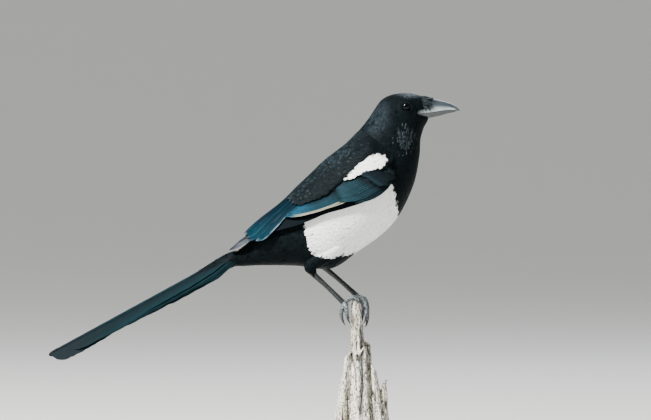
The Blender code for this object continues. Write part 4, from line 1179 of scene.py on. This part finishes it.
def vane_sheet(group, name, index, side, rows, draw):
    """One long feather: upper and lower points, colours and maps."""
    share = index / (group["count"] - 1)
    line = group_line(group, share)
    t = np.linspace(0, 1, rows) ** 0.85
    stretch = 1 + draw.uniform(-0.02, 0.02)
    grid_t, grid_s = np.meshgrid(t, VANE_COLUMNS, indexing="ij")
    spot = rows_at(line, 3 * grid_t * stretch)
    width = blade_width(grid_t, group["tip"])
    frayed = 1 + draw.uniform(-0.07, 0.05, grid_s.shape) * (np.abs(grid_s) > 0.9)
    web = np.where(grid_s < 0, group["webs"][0], group["webs"][1])
    offset = grid_s * web * width * frayed
    a_degree_on = shell_at(spot[..., 0], spot[..., 1] + 1)
    ring = np.linalg.norm(a_degree_on - shell_at(spot[..., 0], spot[..., 1]), axis=-1)
    angle = np.minimum(spot[..., 1] + offset / ring, 88.5)
    place = spot[..., 0] - 0.05 * (1 - grid_s ** 2) * smooth_step(grid_t, 0.9, 1.0)
    height = layer_height(group, index, place, angle, grid_t)
    shaft = np.where(np.abs(grid_s) < 0.1, 1 - 5 * np.abs(grid_s), 0) * SHAFT_RISE * (1 - 0.6 * grid_t)
    thick = VANE_THICK * (0.2 + 0.8 * (1 - grid_s ** 4)) * (1 - 0.3 * grid_t)
    points = np.concatenate([shell_at(place, angle, height + thick + shaft).reshape(-1, 3),
                             shell_at(place, angle, height).reshape(-1, 3)])
    points[:, 1] = np.maximum(points[:, 1], 0.3) * side
    colours = feather_colour(name, share, place, grid_t, grid_s, draw).reshape(-1, 3)
    length = np.linalg.norm(points[(rows - 1) * 9 + 4] - points[4])
    vane_map = np.stack([offset.ravel(), (grid_t * length).ravel()], 1) * MM
    return points, np.concatenate([colours, colours]), np.concatenate([vane_map, vane_map])


def feather_piece(name, sheets, faces, finish, cells=4):
    """One piece of many long feathers. Each has its own place in the bake map."""
    each = len(sheets[0][0])
    points, colours, maps = (np.concatenate([sheet[k] for sheet in sheets]) for k in range(3))
    all_faces = np.concatenate([faces + i * each for i in range(len(sheets))])
    bake = []
    for i, (_, _, vane_map) in enumerate(sheets):
        low, high = vane_map.min(0), vane_map.max(0)
        inside = (vane_map - low) / (high - low) * (0.9, 0.9) + 0.05
        bake.append((inside + (i % cells, i // cells)) / (cells, math.ceil(len(sheets) / cells)))
    made = closed_mesh(name, points, all_faces, finish, colours,
                       {"OFBake": np.concatenate(bake), "vane": maps}, sharp=50)
    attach(made, "root")
    return made


ROWS = {"primary": 22, "secondary": 18, "tertial": 18}


def wrist_colour(points, roots, t, s, draw):
    """Black, some of the feathers with a slate tip."""
    tone = draw.uniform(0, 1, len(roots))[:, None, None]
    slate = draw.uniform(0, 0.7, len(roots))[:, None, None] * smooth_step(t, 0.4, 1.0)[..., None]
    return blend(blend(BLACK, BLACK_SOFT, tone), SLATE, slate)


def clear_of_patch(points):
    return inside_share(points.mean(1), SHOULDER_WHITE, 0.3, 1.5) < 0.5


for side, word in ((1, "left"), (-1, "right")):
    draw = np.random.default_rng(SEED + 100 + side)
    for name, group in WING_GROUPS.items():
        rows = ROWS.get(name, 11)
        sheets = [vane_sheet(group, name, i, side, rows, draw) for i in range(group["count"])]
        made = feather_piece(f"{name}_{word}", sheets, slab_faces(rows, 9), flight_vane)
        if name == "primary":
            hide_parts(f"wing_{word}")

    # The small coverts over the wrist and forearm.
    def wrist_at(a, b, out=0.0, side=side):
        return pad_at(a, b, out, side)

    roots = scatter(wrist_at, PAD_STEPS, (0.04, 0.03), (0.99, 0.97), anywhere, even(2.1), 60 + side)
    made = tuft_piece(f"lesser_coverts_{word}", wrist_at, roots, PAD_STEPS, **WRIST_TUFT,
                      colour=wrist_colour, unwrap=lambda r: r * 0.96 + 0.02, seed=70 + side,
                      keep=clear_of_patch)
    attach(made, "root")


# The mantle, black with worn grey edges and painted sheen towards the top of the back, and the white
# scapulars.
def mantle_colour(points, roots, t, s, draw):
    """White by where a feather's tip lies, but no farther than just past the patch's own outline."""
    count = len(roots)
    spots = tip_spots(points, t) + draw.normal(0, 0.12, (count, 3))
    white = inside_share(spots, SHOULDER_WHITE, 0.3, 0.8)[:, None, None]
    white = white * inside_share(points, SHOULDER_WHITE, 0.5, 1.0)[..., None]
    tone = draw.uniform(0, 1, count)[:, None, None]
    # Painted sheen: feathers turn greyer towards the top of the back, and the grey tips there are partly
    # wear, partly painted sheen.
    high = smooth_step(folded(roots[:, 1]), 30, 70)
    worn = (draw.uniform(0, 1, count) < 0.05 + 0.12 * high)[:, None] * smooth_step(t, 0.7, 1.0) * 0.25
    sheen = 0.25 * (high * draw.uniform(0, 1, count))[:, None, None]
    dark = blend(blend(blend(BLACK, BLACK_SOFT, tone), PAINTED_SHEEN_GREY, sheen), WORN_AND_SHEEN_GREY, worn[..., None])
    return blend(dark, blend(WHITE, WHITE_SHADE, 0.25 * tone), white)


def on_mantle(place, angle):
    return above_mantle_edge(place - 0.28, angle, -1.5)


roots = scatter(mantle_at, BODY_STEPS, (3.3, -10), (7.45, 190), on_mantle, even(1.65), 90)
mantle = tuft_piece("mantle_coat", mantle_at, roots, BODY_STEPS, **MANTLE_TUFT,
                    colour=mantle_colour, unwrap=unwrap_body, seed=91)
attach(mantle, "root")

# The tail: twelve graduated feathers under one ridge, whose cross-section is a soft roof.
TAIL_ROOT = (-105.0, 179.6)
TAIL_SLOPE = math.radians(28.6)
TAIL_LENGTH = 197.0
TAIL_ROOF = 0.47
TAIL_RIDGE_ROUND = 3.0
TAIL_RIDGE_RISE = 7.2
TAIL_LEVEL = 0.84
TAIL_START = 3.0
TAIL_GREEN, TAIL_DARK, TAIL_TIP = shade("#0b1e23"), shade("#0a1519"), shade("#12191d")
TAIL_ROWS = 56
NEAR_SHORTER, NEAR_DROOP = 3.0, 4.5
# From the middle pair outwards: share of the full length, quill across, outer web and inner web.
TAIL_FEATHERS = (
    (1.0, 7.0, 14.0, 13.0),
    (0.88, 11.8, 10.2, 11.2),
    (0.75, 13.2, 9.3, 12.6),
    (0.63, 13.8, 8.2, 13.2),
    (0.51, 14.6, 7.4, 14.0),
    (0.39, 15.3, 6.7, 14.7),
)


def tail_at(distance, across, level, drop=0.0):
    roof = TAIL_ROOF * (np.hypot(across, TAIL_RIDGE_ROUND) - TAIL_RIDGE_ROUND)
    height = TAIL_RIDGE_RISE - roof - level - drop
    x = TAIL_ROOT[0] - distance * math.cos(TAIL_SLOPE) - height * math.sin(TAIL_SLOPE)
    z = TAIL_ROOT[1] - distance * math.sin(TAIL_SLOPE) + height * math.cos(TAIL_SLOPE)
    return np.stack(np.broadcast_arrays(x, across, z), -1)


def tail_sheet(side, index, level, length, droop, draw):
    """One tail feather. Its level counts down from the top pair, and droop lets its outer web hang."""
    _, quill, outer, inner = TAIL_FEATHERS[index]
    t = np.linspace(0, 1, TAIL_ROWS) ** 0.9
    grid_t, grid_s = np.meshgrid(t, VANE_COLUMNS, indexing="ij")
    distance = TAIL_START + (length - TAIL_START) * grid_t
    spread = np.minimum(1, 0.5 + distance / 50)
    width = blade_width(grid_t, 0.9) * np.minimum(1, 0.6 + distance / 45)
    frayed = 1 + draw.uniform(-0.04, 0.03, grid_s.shape) * (np.abs(grid_s) > 0.9)
    offset = grid_s * np.where(grid_s < 0, inner, outer) * width * frayed
    sag = droop * smooth_step(grid_t, 0.35, 0.85) * np.maximum(0, offset) / outer
    across = side * (quill * spread + offset)
    shaft = np.where(np.abs(grid_s) < 0.1, 1 - 5 * np.abs(grid_s), 0) * 0.35 * (1 - 0.5 * grid_t)
    thick = 0.3 * (0.2 + 0.8 * (1 - grid_s ** 4))
    ripple = 0.12 * np.sin(distance / 2.3 + 6 * grid_s) * np.abs(grid_s)
    low = level * TAIL_LEVEL
    points = both_sides(tail_at(distance, across, low - thick - shaft - ripple, sag),
                        tail_at(distance, across, low - ripple, sag))
    colour = blend(TAIL_DARK, TAIL_GREEN, smooth_step(np.abs(grid_s), 0.1, 0.9)[..., None])
    end = smooth_step(distance / TAIL_LENGTH, 0.62, 0.95)[..., None]
    colour = (blend(colour, TAIL_TIP, end) * draw.uniform(0.88, 1.12)).reshape(-1, 3)
    maps = np.stack([offset.ravel(), distance.ravel()], 1) * MM
    return points, np.concatenate([colour, colour]), np.concatenate([maps, maps])


def make_tail():
    """The middle pair lies one feather over the other, and the rest lie in pairs below them."""
    draw = np.random.default_rng(SEED + 200)
    sheets, level = [], 0
    for index, (share, *_) in enumerate(TAIL_FEATHERS):
        for side in (1, -1):
            near_middle = index == 0 and side < 0
            length = TAIL_LENGTH * share - (NEAR_SHORTER if near_middle else 0)
            sheets.append(tail_sheet(side, index, level, length, NEAR_DROOP if near_middle else 0, draw))
            if index == 0:
                level += 1
        level += 1
    tail = feather_piece("tail_feathers", sheets, slab_faces(TAIL_ROWS, 9), tail_vane)
    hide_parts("tail")


make_tail()

CONE_LENGTH = 46.0
CONE_STATIONS = (-6, 0, 20, 46)
CONE_HALF_WIDTHS = (9.3, 10.0, 13.0, 12.5)
CONE_HALF_HEIGHTS = (7.6, 7.6, 6.2, 4.2)
CONE_MIDDLES = (5.8, 5.6, 4.4, 4.6)


def tail_cone(place, turn, out=0.0):
    """The coat round the tail's root, from 0 at its end to 1 at the body."""
    place, turn, out = np.broadcast_arrays(place, turn, out)
    distance = CONE_LENGTH * (1 - place)
    half_width = np.interp(distance, CONE_STATIONS, CONE_HALF_WIDTHS) + out
    half_height = np.interp(distance, CONE_STATIONS, CONE_HALF_HEIGHTS) + out
    turned = np.radians(turn)
    across = half_width * np.cos(turned)
    middle = np.interp(distance, CONE_STATIONS, CONE_MIDDLES)
    roof = TAIL_ROOF * (np.hypot(across, TAIL_RIDGE_ROUND) - TAIL_RIDGE_ROUND)
    level = middle - half_height * np.sin(turned) - roof * np.clip(1 - distance / 20, 0, 1)
    return tail_at(distance, across, level)


def tail_covert_colour(points, roots, t, s, draw):
    tone = draw.uniform(0, 1, len(roots))[:, None, None]
    return np.broadcast_to(blend(BLACK, BLACK_SOFT, tone), (*t.shape, 3))


def unwrap_cone(roots):
    return np.stack([(roots[:, 1] + 180) / 360, roots[:, 0]], 1) * 0.9 + 0.05


roots = scatter(tail_cone, CONE_STEPS, (0.15, -180), (1.1, 180), anywhere, even(2.6), 80)
made = tuft_piece("tail_coverts", tail_cone, roots, CONE_STEPS, **TAIL_TUFT, turn=7,
                  colour=tail_covert_colour, unwrap=unwrap_cone, seed=81)
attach(made, "root")

# The bill: x, culmen or chin z, mouth line z, half width.
UPPER_BILL = (
    (60.5, 317.5, 314.9, 9.6),
    (66.0, 322.5, 315.2, 9.0),
    (71.5, 327.6, 315.6, 7.8),
    (77.0, 328.4, 316.2, 6.4),
    (83.5, 327.0, 317.3, 5.1),
    (90.5, 325.2, 318.2, 3.8),
    (97.0, 322.3, 318.2, 2.4),
    (101.2, 318.9, 317.3, 1.0),
    (102.0, 317.6, 316.9, 0.5),
)
LOWER_BILL = (
    (61.5, 311.6, 314.8, 9.3),
    (67.0, 310.5, 315.1, 8.5),
    (74.0, 310.3, 315.8, 6.9),
    (82.5, 312.3, 317.0, 4.7),
    (91.0, 314.8, 318.0, 3.1),
    (97.0, 316.2, 317.9, 1.6),
    (99.0, 317.1, 317.6, 0.7),
    (100.2, 317.5, 317.7, 0.2),
)
# Each mandible's base colour and the paler colour of its painted highlight. The bases are greyer than black
# horn: partly painted sheen.
UPPER_HORN_AND_HIGHLIGHT = (shade("#343d43"), shade("#a9b3b7"))
LOWER_HORN_AND_HIGHLIGHT = (shade("#30363a"), shade("#41484c"))


def mandible(name, rows, node):
    """Half of the bill: round outside with a low ridge, and a thin cutting edge at the mouth."""
    steps, sides = 60, 36
    value = rows_at(rows, np.linspace(0, len(rows) - 1, steps + 1))
    turn = np.arange(sides) * 2 * math.pi / sides
    cosine, sine = np.cos(turn), np.sin(turn)
    wide = np.sign(cosine) * np.abs(cosine) ** 0.8
    x, outer, mouth, half = (value[:, i:i + 1] for i in range(4))
    tall = outer - mouth
    lift = np.where(sine >= 0, np.abs(sine) ** 0.9, -0.1 / np.maximum(np.abs(tall), 0.3) * np.abs(sine))
    ridge = np.exp(-((turn - math.pi / 2) / 0.22) ** 2)
    z = mouth + tall * lift + np.sign(tall) * ridge * 0.16
    rings = np.stack([x + 0 * turn, half * wide, z], -1)
    # A pale band of painted highlight runs along each mandible's cutting edge.
    share = np.clip(lift, 0, 1) + 0 * x
    along = x + 0 * turn
    painted_highlight_band = (1 - smooth_step(share, 0.2, 0.5)) * smooth_step(along, 61, 66)
    painted_highlight_band = painted_highlight_band * (1 - smooth_step(along, 96, 101)) * 0.85
    base, edge = UPPER_HORN_AND_HIGHLIGHT if tall[0, 0] > 0 else LOWER_HORN_AND_HIGHLIGHT
    colours = blend(base, edge, painted_highlight_band[..., None]).reshape(-1, 3)
    colours = np.concatenate([colours, np.repeat(base[None], 2, axis=0)])
    made = closed_mesh(name, loft_points(rings), loft_faces(steps + 1, sides), bill_horn, colours, sharp=55)
    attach(made, "root")
    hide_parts(node)


mandible("upper_mandible", UPPER_BILL, "bill_upper")
mandible("lower_mandible", LOWER_BILL, "bill_lower")

BRISTLES = 420
BRISTLE_FRONT = 80.0


def bristle_route(draw, side):
    """A root on the forehead or the gape, a middle, and a tip that lies close over the bill."""
    angle = draw.uniform(4, 88)
    place = draw.uniform(13.1, 13.95)
    root = body_at(place, angle, -0.7) * (1, side, 1)
    reach = (3.0 + 8.0 * draw.uniform(0, 1) ** 1.6) * (0.75 + 0.25 * angle / 90)
    tip_x = min(root[0] + reach, BRISTLE_FRONT)
    bill = rows_at(UPPER_BILL, np.interp(tip_x, [r[0] for r in UPPER_BILL], range(len(UPPER_BILL))))
    lean = math.radians(angle * 0.93 + draw.uniform(-6, 6))
    lift = draw.uniform(0.25, 1.1)
    tip = np.array((tip_x, side * (bill[3] + lift) * max(math.cos(lean), 0.0) ** 0.8,
                    bill[2] + (bill[1] - bill[2] + lift) * math.sin(lean) ** 0.9))
    middle = (root + tip) / 2 + np.array((0, side * 0.5 * math.cos(lean), 0.7 * math.sin(lean)))
    return root, middle, tip


def make_bristles():
    """Nasal bristles lie forward over the nostrils, as thin tapered strands, some of them grey."""
    draw = np.random.default_rng(SEED + 300)
    strands, roots = [], []
    for i in range(BRISTLES):
        route = bristle_route(draw, 1 if i % 2 else -1)
        thick = draw.uniform(0.16, 0.3)
        strands.append(loft_points(route_rings(route, (thick, thick * 0.8, thick * 0.12), 7, 4)))
        roots.append(route[0])
    each = len(strands[0])
    points, faces = many(np.array(strands), loft_faces(8, 4))
    pale = np.random.default_rng(SEED + 301).uniform(0, 1, BRISTLES) ** 3 * 0.8
    colours = blend(BLACK, BRISTLE_GREY, np.repeat(pale, each)[:, None])
    roots = np.repeat(np.array(roots), each, axis=0)
    spots = np.stack([(roots[:, 1] + 10) / 20, (roots[:, 2] - 305) / 30], 1)
    step = np.tile(np.linspace(0, 2 * BAKE_HALF, each), BRISTLES)
    made = closed_mesh("nasal_bristles", points, faces, contour_plumage, colours,
                       {"OFBake": spots + step[:, None] * (0.5, 1.0), "vane": spots * 0}, sharp=0)
    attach(made, "root")


make_bristles()

# Eyes and lids.
BALL_RINGS, BALL_SIDES = 28, 40
PUPIL, IRIS = shade("#020202"), shade("#060606")
LID_TURNS, LID_AROUND = 96, 14
LID_THICK, LID_OUT = 0.5, 2.6
LID_BEADS = 31


def disc_axes(outward):
    across = unit(np.cross((0, 0, 1), outward))
    return across, np.cross(outward, across)


def make_eyeball(word, centre, outward):
    across, up = disc_axes(outward)
    polar = np.linspace(0.02, math.pi - 0.02, BALL_RINGS)[:, None, None]
    turn = (np.arange(BALL_SIDES) * 2 * math.pi / BALL_SIDES)[None, :, None]
    spoke = np.cos(turn) * across + np.sin(turn) * up
    points = loft_points(centre + EYE_RADIUS * (np.cos(polar) * outward + np.sin(polar) * spoke))
    axial, radial = from_axis(points, centre, outward)
    iris = smooth_step(radial, 1.9, 2.05) * smooth_step(axial, 0, 1) * (1 - smooth_step(radial, 3.2, 3.6))
    eye = closed_mesh(f"eyeball_{word}", points, loft_faces(BALL_RINGS, BALL_SIDES), wet_eye,
                      blend(PUPIL, IRIS, iris[:, None]), sharp=0)
    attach(eye, "root")
    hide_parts(f"eye_{word}")


def ring_faces(turns, around):
    """Triangles of a closed ring of round sections."""
    i, k = np.meshgrid(np.arange(turns), np.arange(around), indexing="ij")
    p, q = i * around + k, i * around + (k + 1) % around
    r, s = ((i + 1) % turns) * around + k, ((i + 1) % turns) * around + (k + 1) % around
    return np.concatenate([np.stack([p, q, s], -1).reshape(-1, 3), np.stack([p, s, r], -1).reshape(-1, 3)])


def make_lids(word, centre, outward):
    """One beaded ring, which closes in a little at the corners, as a pointed oval."""
    across, up = disc_axes(outward)
    a, b = np.meshgrid(np.arange(LID_TURNS) * 2 * math.pi / LID_TURNS,
                       np.arange(LID_AROUND) * 2 * math.pi / LID_AROUND, indexing="ij")
    beads = LID_THICK * (1 + 0.09 * np.sin(a * LID_BEADS + 2 * np.sin(a * 5)) * np.clip(np.sin(b), 0, 1))
    oval = LID_RADIUS * (1 + 0.05 * np.cos(2 * a))
    spoke = np.cos(a)[..., None] * across + np.sin(a)[..., None] * up
    lid = (centre + outward * LID_OUT + spoke * (oval + beads * np.cos(b))[..., None]
           + outward * (1.05 * beads * np.sin(b))[..., None])
    faces = ring_faces(LID_TURNS, LID_AROUND)
    made = closed_mesh(f"lids_{word}", lid.reshape(-1, 3), faces, lid_skin, sharp=0)
    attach(made, "root")


for side, centre, outward in eye_places():
    word = "left" if side > 0 else "right"
    make_eyeball(word, centre, outward)
    make_lids(word, centre, outward)

# Legs: scuted shanks and toes, and curved claws.
TOES = {
    "right": {
        "hind": ((-3.6, -2.0, 136.8), (-4.2, 2.2, 133.4), (-3.2, 5.4, 129.6)),
        "inner": ((-1.6, -4.6, 141.8), (3.2, -4.6, 143.6), (8.0, -4.6, 140.6)),
        "middle": ((-6.6, -7.6, 134.4), (-8.2, -6.4, 129.6), (-7.4, -5.4, 124.4)),
        "outer": ((-3.8, -9.0, 134.6), (-3.2, -9.6, 130.2), (-2.6, -9.2, 126.0)),
    },
    "left": {
        "hind": ((4.4, 8.8, 141.2), (3.4, 10.2, 136.4), (3.6, 10.4, 131.6)),
        "inner": ((12.4, 3.4, 141.8), (14.8, 1.2, 134.6), (15.0, -0.6, 126.0)),
        "middle": ((13.2, 6.8, 142.2), (16.0, 6.4, 134.6), (16.2, 5.6, 122.4)),
        "outer": ((10.8, 9.6, 140.8), (12.4, 11.2, 134.6), (11.8, 11.6, 126.4)),
    },
}
STUB_X = 10.0


def scutes(length, plate_mm, rise):
    """Overlapping plates along the front of a shank or the top of a toe."""
    def shape(place, turn):
        saw = (place * length / plate_mm) % 1.0
        front = np.clip(np.cos(turn - math.pi / 2), 0, 1) ** 0.6
        behind = np.clip(-np.cos(turn - math.pi / 2), 0, 1)
        return 1 + rise * (1 - saw) ** 0.7 * front + 0.03 * behind * math.sin(place * length * 2.4)
    return shape


def tube(route, radii, steps, sides, shape=None, flat=1.0):
    return loft_points(route_rings(route, radii, steps, sides, flat, shape)), loft_faces(steps + 1, sides)


# The scaly skin's colours, and each tube's radii from its root to its tip.
SHANK_COLOUR, FOOT_COLOUR = shade("#171b1d"), shade("#43494c")
SHANK_RADII, TOE_RADII = (2.75, 2.2, 2.5), (2.3, 2.15, 1.95, 1.45)
CLAW_RADII = (1.2, 1.15, 0.95, 0.7, 0.42, 0.08)
CLAW_STEP, CLAW_BEND = 1.5, 0.30
BALL_RADII = (2.7, 2.8, 2.6)


def make_shank(word, leg):
    top, foot = np.array(leg["ankle"]), np.array(leg["foot"])
    run = unit(foot - top)
    start, end = top + run * (leg["hidden"] - 2.5) + SHANK_TOP_SHIFT, foot - run * 0.5
    middle = (start + end) / 2 + (0, 0, 0.5)
    plates = scutes(np.linalg.norm(end - start) / 2, 2.9, 0.08)
    points, faces = tube((start, middle, end), SHANK_RADII, 150, 24, plates, 0.85)
    tone = np.random.default_rng(SEED + 5).uniform(0.85, 1.15, len(points))[:, None]
    made = closed_mesh(f"shank_skin_{word}", points, faces, scute_skin, SHANK_COLOUR * tone, sharp=0)
    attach(made, "root")
    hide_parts(f"shank_{word}")


def make_claw(toe, word, path):
    """A claw that leaves its toe straight and curls in towards the stub."""
    end = path[-1]
    heading = unit(end - path[-2])
    inward = unit(np.array((STUB_X - end[0], -end[1] * 0.6, 0)))
    curl = inward * 0.5 + (0, 0, -0.5)
    claw = [end - heading * 0.3]
    for i in range(1, len(CLAW_RADII)):
        bend = CLAW_BEND * i
        claw.append(claw[-1] + (heading * math.cos(bend) + curl * math.sin(bend)) * CLAW_STEP)
    points, faces = tube(claw, CLAW_RADII, 24, 14)
    made = closed_mesh(f"claw_skin_{toe}_{word}", points, faces, claw_horn, sharp=0)
    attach(made, "root")
    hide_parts(f"claw_{toe}_{word}")


def make_foot(word, leg):
    """Four scuted toes and the ball that they leave from, in one piece, and a claw on each toe."""
    foot = np.array(leg["foot"])
    parts = []
    for toe, route in TOES[word].items():
        path = [foot, *[np.array(p) for p in route]]
        length = sum(np.linalg.norm(q - p) for p, q in zip(path, path[1:]))
        parts.append(tube(path, TOE_RADII, 54, 18, scutes(length / 3, 1.7, 0.12)))
        make_claw(toe, word, path)
    polar = np.linspace(0.1, 3.04, 14)[:, None]
    turn = (np.arange(20) * math.pi / 10)[None]
    round_it, along_it = np.sin(polar), np.cos(polar) + 0 * turn
    ball = np.stack([round_it * np.cos(turn), round_it * np.sin(turn), along_it], -1)
    parts.append((loft_points(foot + ball * BALL_RADII), loft_faces(14, 20)))
    points, faces = joined(parts)
    tone = np.random.default_rng(SEED + 6).uniform(0.8, 1.2, len(points))[:, None]
    made = closed_mesh(f"foot_skin_{word}", points, faces, scute_skin, FOOT_COLOUR * tone, sharp=0)
    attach(made, "root")
    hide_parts(f"foot_{word}")


for word, leg in LEGS.items():
    make_shank(word, leg)
    make_foot(word, leg)

# The stub: the solid's own shape, gone over with cracks, ridges and one long hollow.
STUB_VOXEL_MM = 0.8
HOLLOW_X, HOLLOW_HALF = 10.4, 3.6
CLEAN_WOOD, CRACK_SHADE, HOLLOW_SHADE = shade("#ffffff"), shade("#5d5a52"), shade("#59636c")


def crack_depth(x, y, z, foot_z):
    """How deep the long cracks and the fine grain cut in at one point, in millimetres."""
    lean = (x - 8.0) * (1 + 0.004 * (z - foot_z))
    wide = noise.noise(Vector((lean * 0.16, y * 0.16, z * 0.012)))
    fine = noise.noise(Vector((lean * 0.62 + 9, y * 0.62, z * 0.03)))
    finer = noise.noise(Vector((lean * 1.5 + 4, y * 1.5, z * 0.08)))
    crack = max(0.0, 1 - abs(wide) * 9) * 1.6 + max(0.0, 1 - abs(fine) * 5) * 0.75
    return crack + 0.25 * (finer + 0.5)


def near_hollow(x, z):
    """1 on the wandering middle line of the long hollow, and 0 beyond its half width."""
    middle = HOLLOW_X + 3.0 * noise.noise(Vector((1.5, 0, z * 0.04)))
    return max(0.0, 1 - abs(x - middle) / HOLLOW_HALF)


def make_stub():
    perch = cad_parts["perch"].copy()
    perch.data = perch.data.copy()
    perch.name = "weathered_stub"
    bpy.context.scene.collection.objects.link(perch)
    perch.hide_set(False)
    select_only(perch)
    tool = bmesh.new()
    tool.from_mesh(perch.data)
    bmesh.ops.remove_doubles(tool, verts=tool.verts, dist=1e-6)
    tool.to_mesh(perch.data)
    tool.free()
    finish_with(perch, "REMESH", mode="VOXEL", voxel_size=STUB_VOXEL_MM * MM)
    mesh = perch.data
    points = points_of(mesh)
    normals = np.array([v.normal[:] for v in mesh.vertices])
    foot_z = points[:, 2].min()
    grooves = np.array([crack_depth(x, y, z, foot_z) for x, y, z in points])
    hollow = np.array([near_hollow(x, z) for x, _, z in points])
    level = np.abs(normals[:, 2]) > 0.9
    near_foot = smooth_step(points[:, 2], foot_z, foot_z + 4)
    # One long weathered hollow runs down the near side.
    hollow = smooth_step(hollow, 0.0, 0.7) * smooth_step(-normals[:, 1], 0.1, 0.5)
    hollow *= smooth_step(points[:, 2], 28, 40) * (1 - smooth_step(points[:, 2], 112, 122))
    depth = np.where(level, 0.3, 1.0) * (0.35 + 0.65 * near_foot) * (grooves + 1.1 * hollow)
    move_points(mesh, points - normals * depth[:, None])
    # Painted shade: the deeper a crack is cut, the darker it is painted, and the long hollow is painted
    # blue-grey.
    dark = smooth_step(depth, 0.5, 1.7)[:, None]
    paint(mesh, blend(blend(CLEAN_WOOD, CRACK_SHADE, dark), HOLLOW_SHADE, 0.75 * hollow[:, None]))
    mesh.materials.clear()
    mesh.materials.append(weathered_wood)
    mesh.shade_smooth()
    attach(perch, "root")
    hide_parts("perch")


make_stub()


# The stand: a turned base and one rod.
def turned_disc(name, radius_mm, depth_mm, place_mm, sides, edge_mm, edge_steps, finish, node):
    """A turned cylinder with softly broken edges."""
    bpy.ops.object.select_all(action="DESELECT")
    bpy.ops.mesh.primitive_cylinder_add(vertices=sides, radius=radius_mm * MM, depth=depth_mm * MM,
                                        location=[v * MM for v in place_mm])
    disc = bpy.context.object
    disc.name = name
    bpy.ops.object.transform_apply(location=True, rotation=True, scale=True)
    finish_with(disc, "BEVEL", width=edge_mm * MM, segments=edge_steps, limit_method="ANGLE")
    bpy.ops.object.shade_smooth_by_angle(angle=math.radians(35))
    disc.data.materials.append(finish)
    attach(disc, "root")
    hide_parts(node)


turned_disc("turned_base", 80, 12, (0, 0, 6), 160, 2.2, 5, stained_wood, "stand_base")
turned_disc("brushed_rod", 5, 13.6, (10, 0, 19), 64, 0.4, 3, brushed_steel, "stand_rod")

# A pale floor that rises into a low round backdrop, so that it looks alike from every side. In metres.
FLOOR_SIDES, FLOOR_RINGS = 96, 34
FLAT_RADIUS, BOWL_REACH, BOWL_HEIGHT = 1.0, 8.0, 3.6


def make_floor():
    turn = np.arange(FLOOR_SIDES) * 2 * math.pi / FLOOR_SIDES
    tool = bmesh.new()
    rows = []
    for step in range(FLOOR_RINGS):
        radius = 0.02 if step == 0 else FLAT_RADIUS + BOWL_REACH * (step - 1) / (FLOOR_RINGS - 2)
        height = BOWL_HEIGHT * (max(0.0, radius - FLAT_RADIUS) / BOWL_REACH) ** 4.6
        ring = np.stack([radius * np.cos(turn), radius * np.sin(turn), turn * 0 + height], 1)
        rows.append([tool.verts.new(p) for p in ring])
    tool.faces.new(rows[0])
    for low, high in zip(rows, rows[1:]):
        for k in range(FLOOR_SIDES):
            after = (k + 1) % FLOOR_SIDES
            tool.faces.new((low[k], low[after], high[after], high[k]))
    bmesh.ops.recalc_face_normals(tool, faces=tool.faces)
    mesh = bpy.data.meshes.new("studio_floor")
    tool.to_mesh(mesh)
    tool.free()
    mesh.shade_smooth()
    floor = bpy.data.objects.new("studio_floor", mesh)
    bpy.context.scene.collection.objects.link(floor)
    # Matt paint, so that the floor mirrors nothing.
    paint_finish, _, _ = new_material("painted_floor", {"Roughness": 0.9, "Base Color": linear("#c6c8c4")})
    mesh.materials.append(paint_finish)


make_floor()

world = bpy.data.worlds.new("studio")
bpy.context.scene.world = world
world.use_nodes = True
sky = world.node_tree.nodes["Background"]
sky.inputs["Color"].default_value = linear("#e2ecf4")
sky.inputs["Strength"].default_value = 0.24


def area_light(name, place, aim, size, power, colour="#ffffff"):
    data = bpy.data.lights.new(name, "AREA")
    data.shape, data.size, data.energy = "DISK", size, power
    data.color = linear(colour)[:3]
    lamp = bpy.data.objects.new(name, data)
    bpy.context.scene.collection.objects.link(lamp)
    lamp.location = place
    lamp.rotation_euler = (Vector(aim) - Vector(place)).to_track_quat("-Z", "Y").to_euler()
    lamp.visible_camera = False


area_light("key", (-2.1, -2.1, 3.3), (0, 0, 0.22), 1.1, 850, "#fffcf8")
area_light("fill", (2.8, -2.2, 1.0), (0, 0, 0.2), 2.0, 10, "#dfe9f5")
area_light("back", (0.8, 2.8, 2.4), (0, 0, 0.2), 1.6, 60, "#eef4ff")

# The camera: 5 m off and level with the bird's middle. The picture is as wide as the photo's 651 pixels.
PIXEL_MM, PHOTO_PIXELS_WIDE = 0.93, 651
VIEW_WIDTH_MM = PHOTO_PIXELS_WIDE * PIXEL_MM
VIEW_X, VIEW_Z, VIEW_FAR = -22.8, 225.1, 5000.0
camera_data = bpy.data.cameras.new("camera")
camera_data.sensor_width = 36.0
camera_data.lens = 36.0 * VIEW_FAR / VIEW_WIDTH_MM
camera_data.clip_end = 50
camera = bpy.data.objects.new("camera", camera_data)
camera.location = (VIEW_X * MM, -VIEW_FAR * MM, VIEW_Z * MM)
camera.rotation_euler = (math.radians(90), 0, 0)
bpy.context.scene.collection.objects.link(camera)
bpy.context.scene.camera = camera
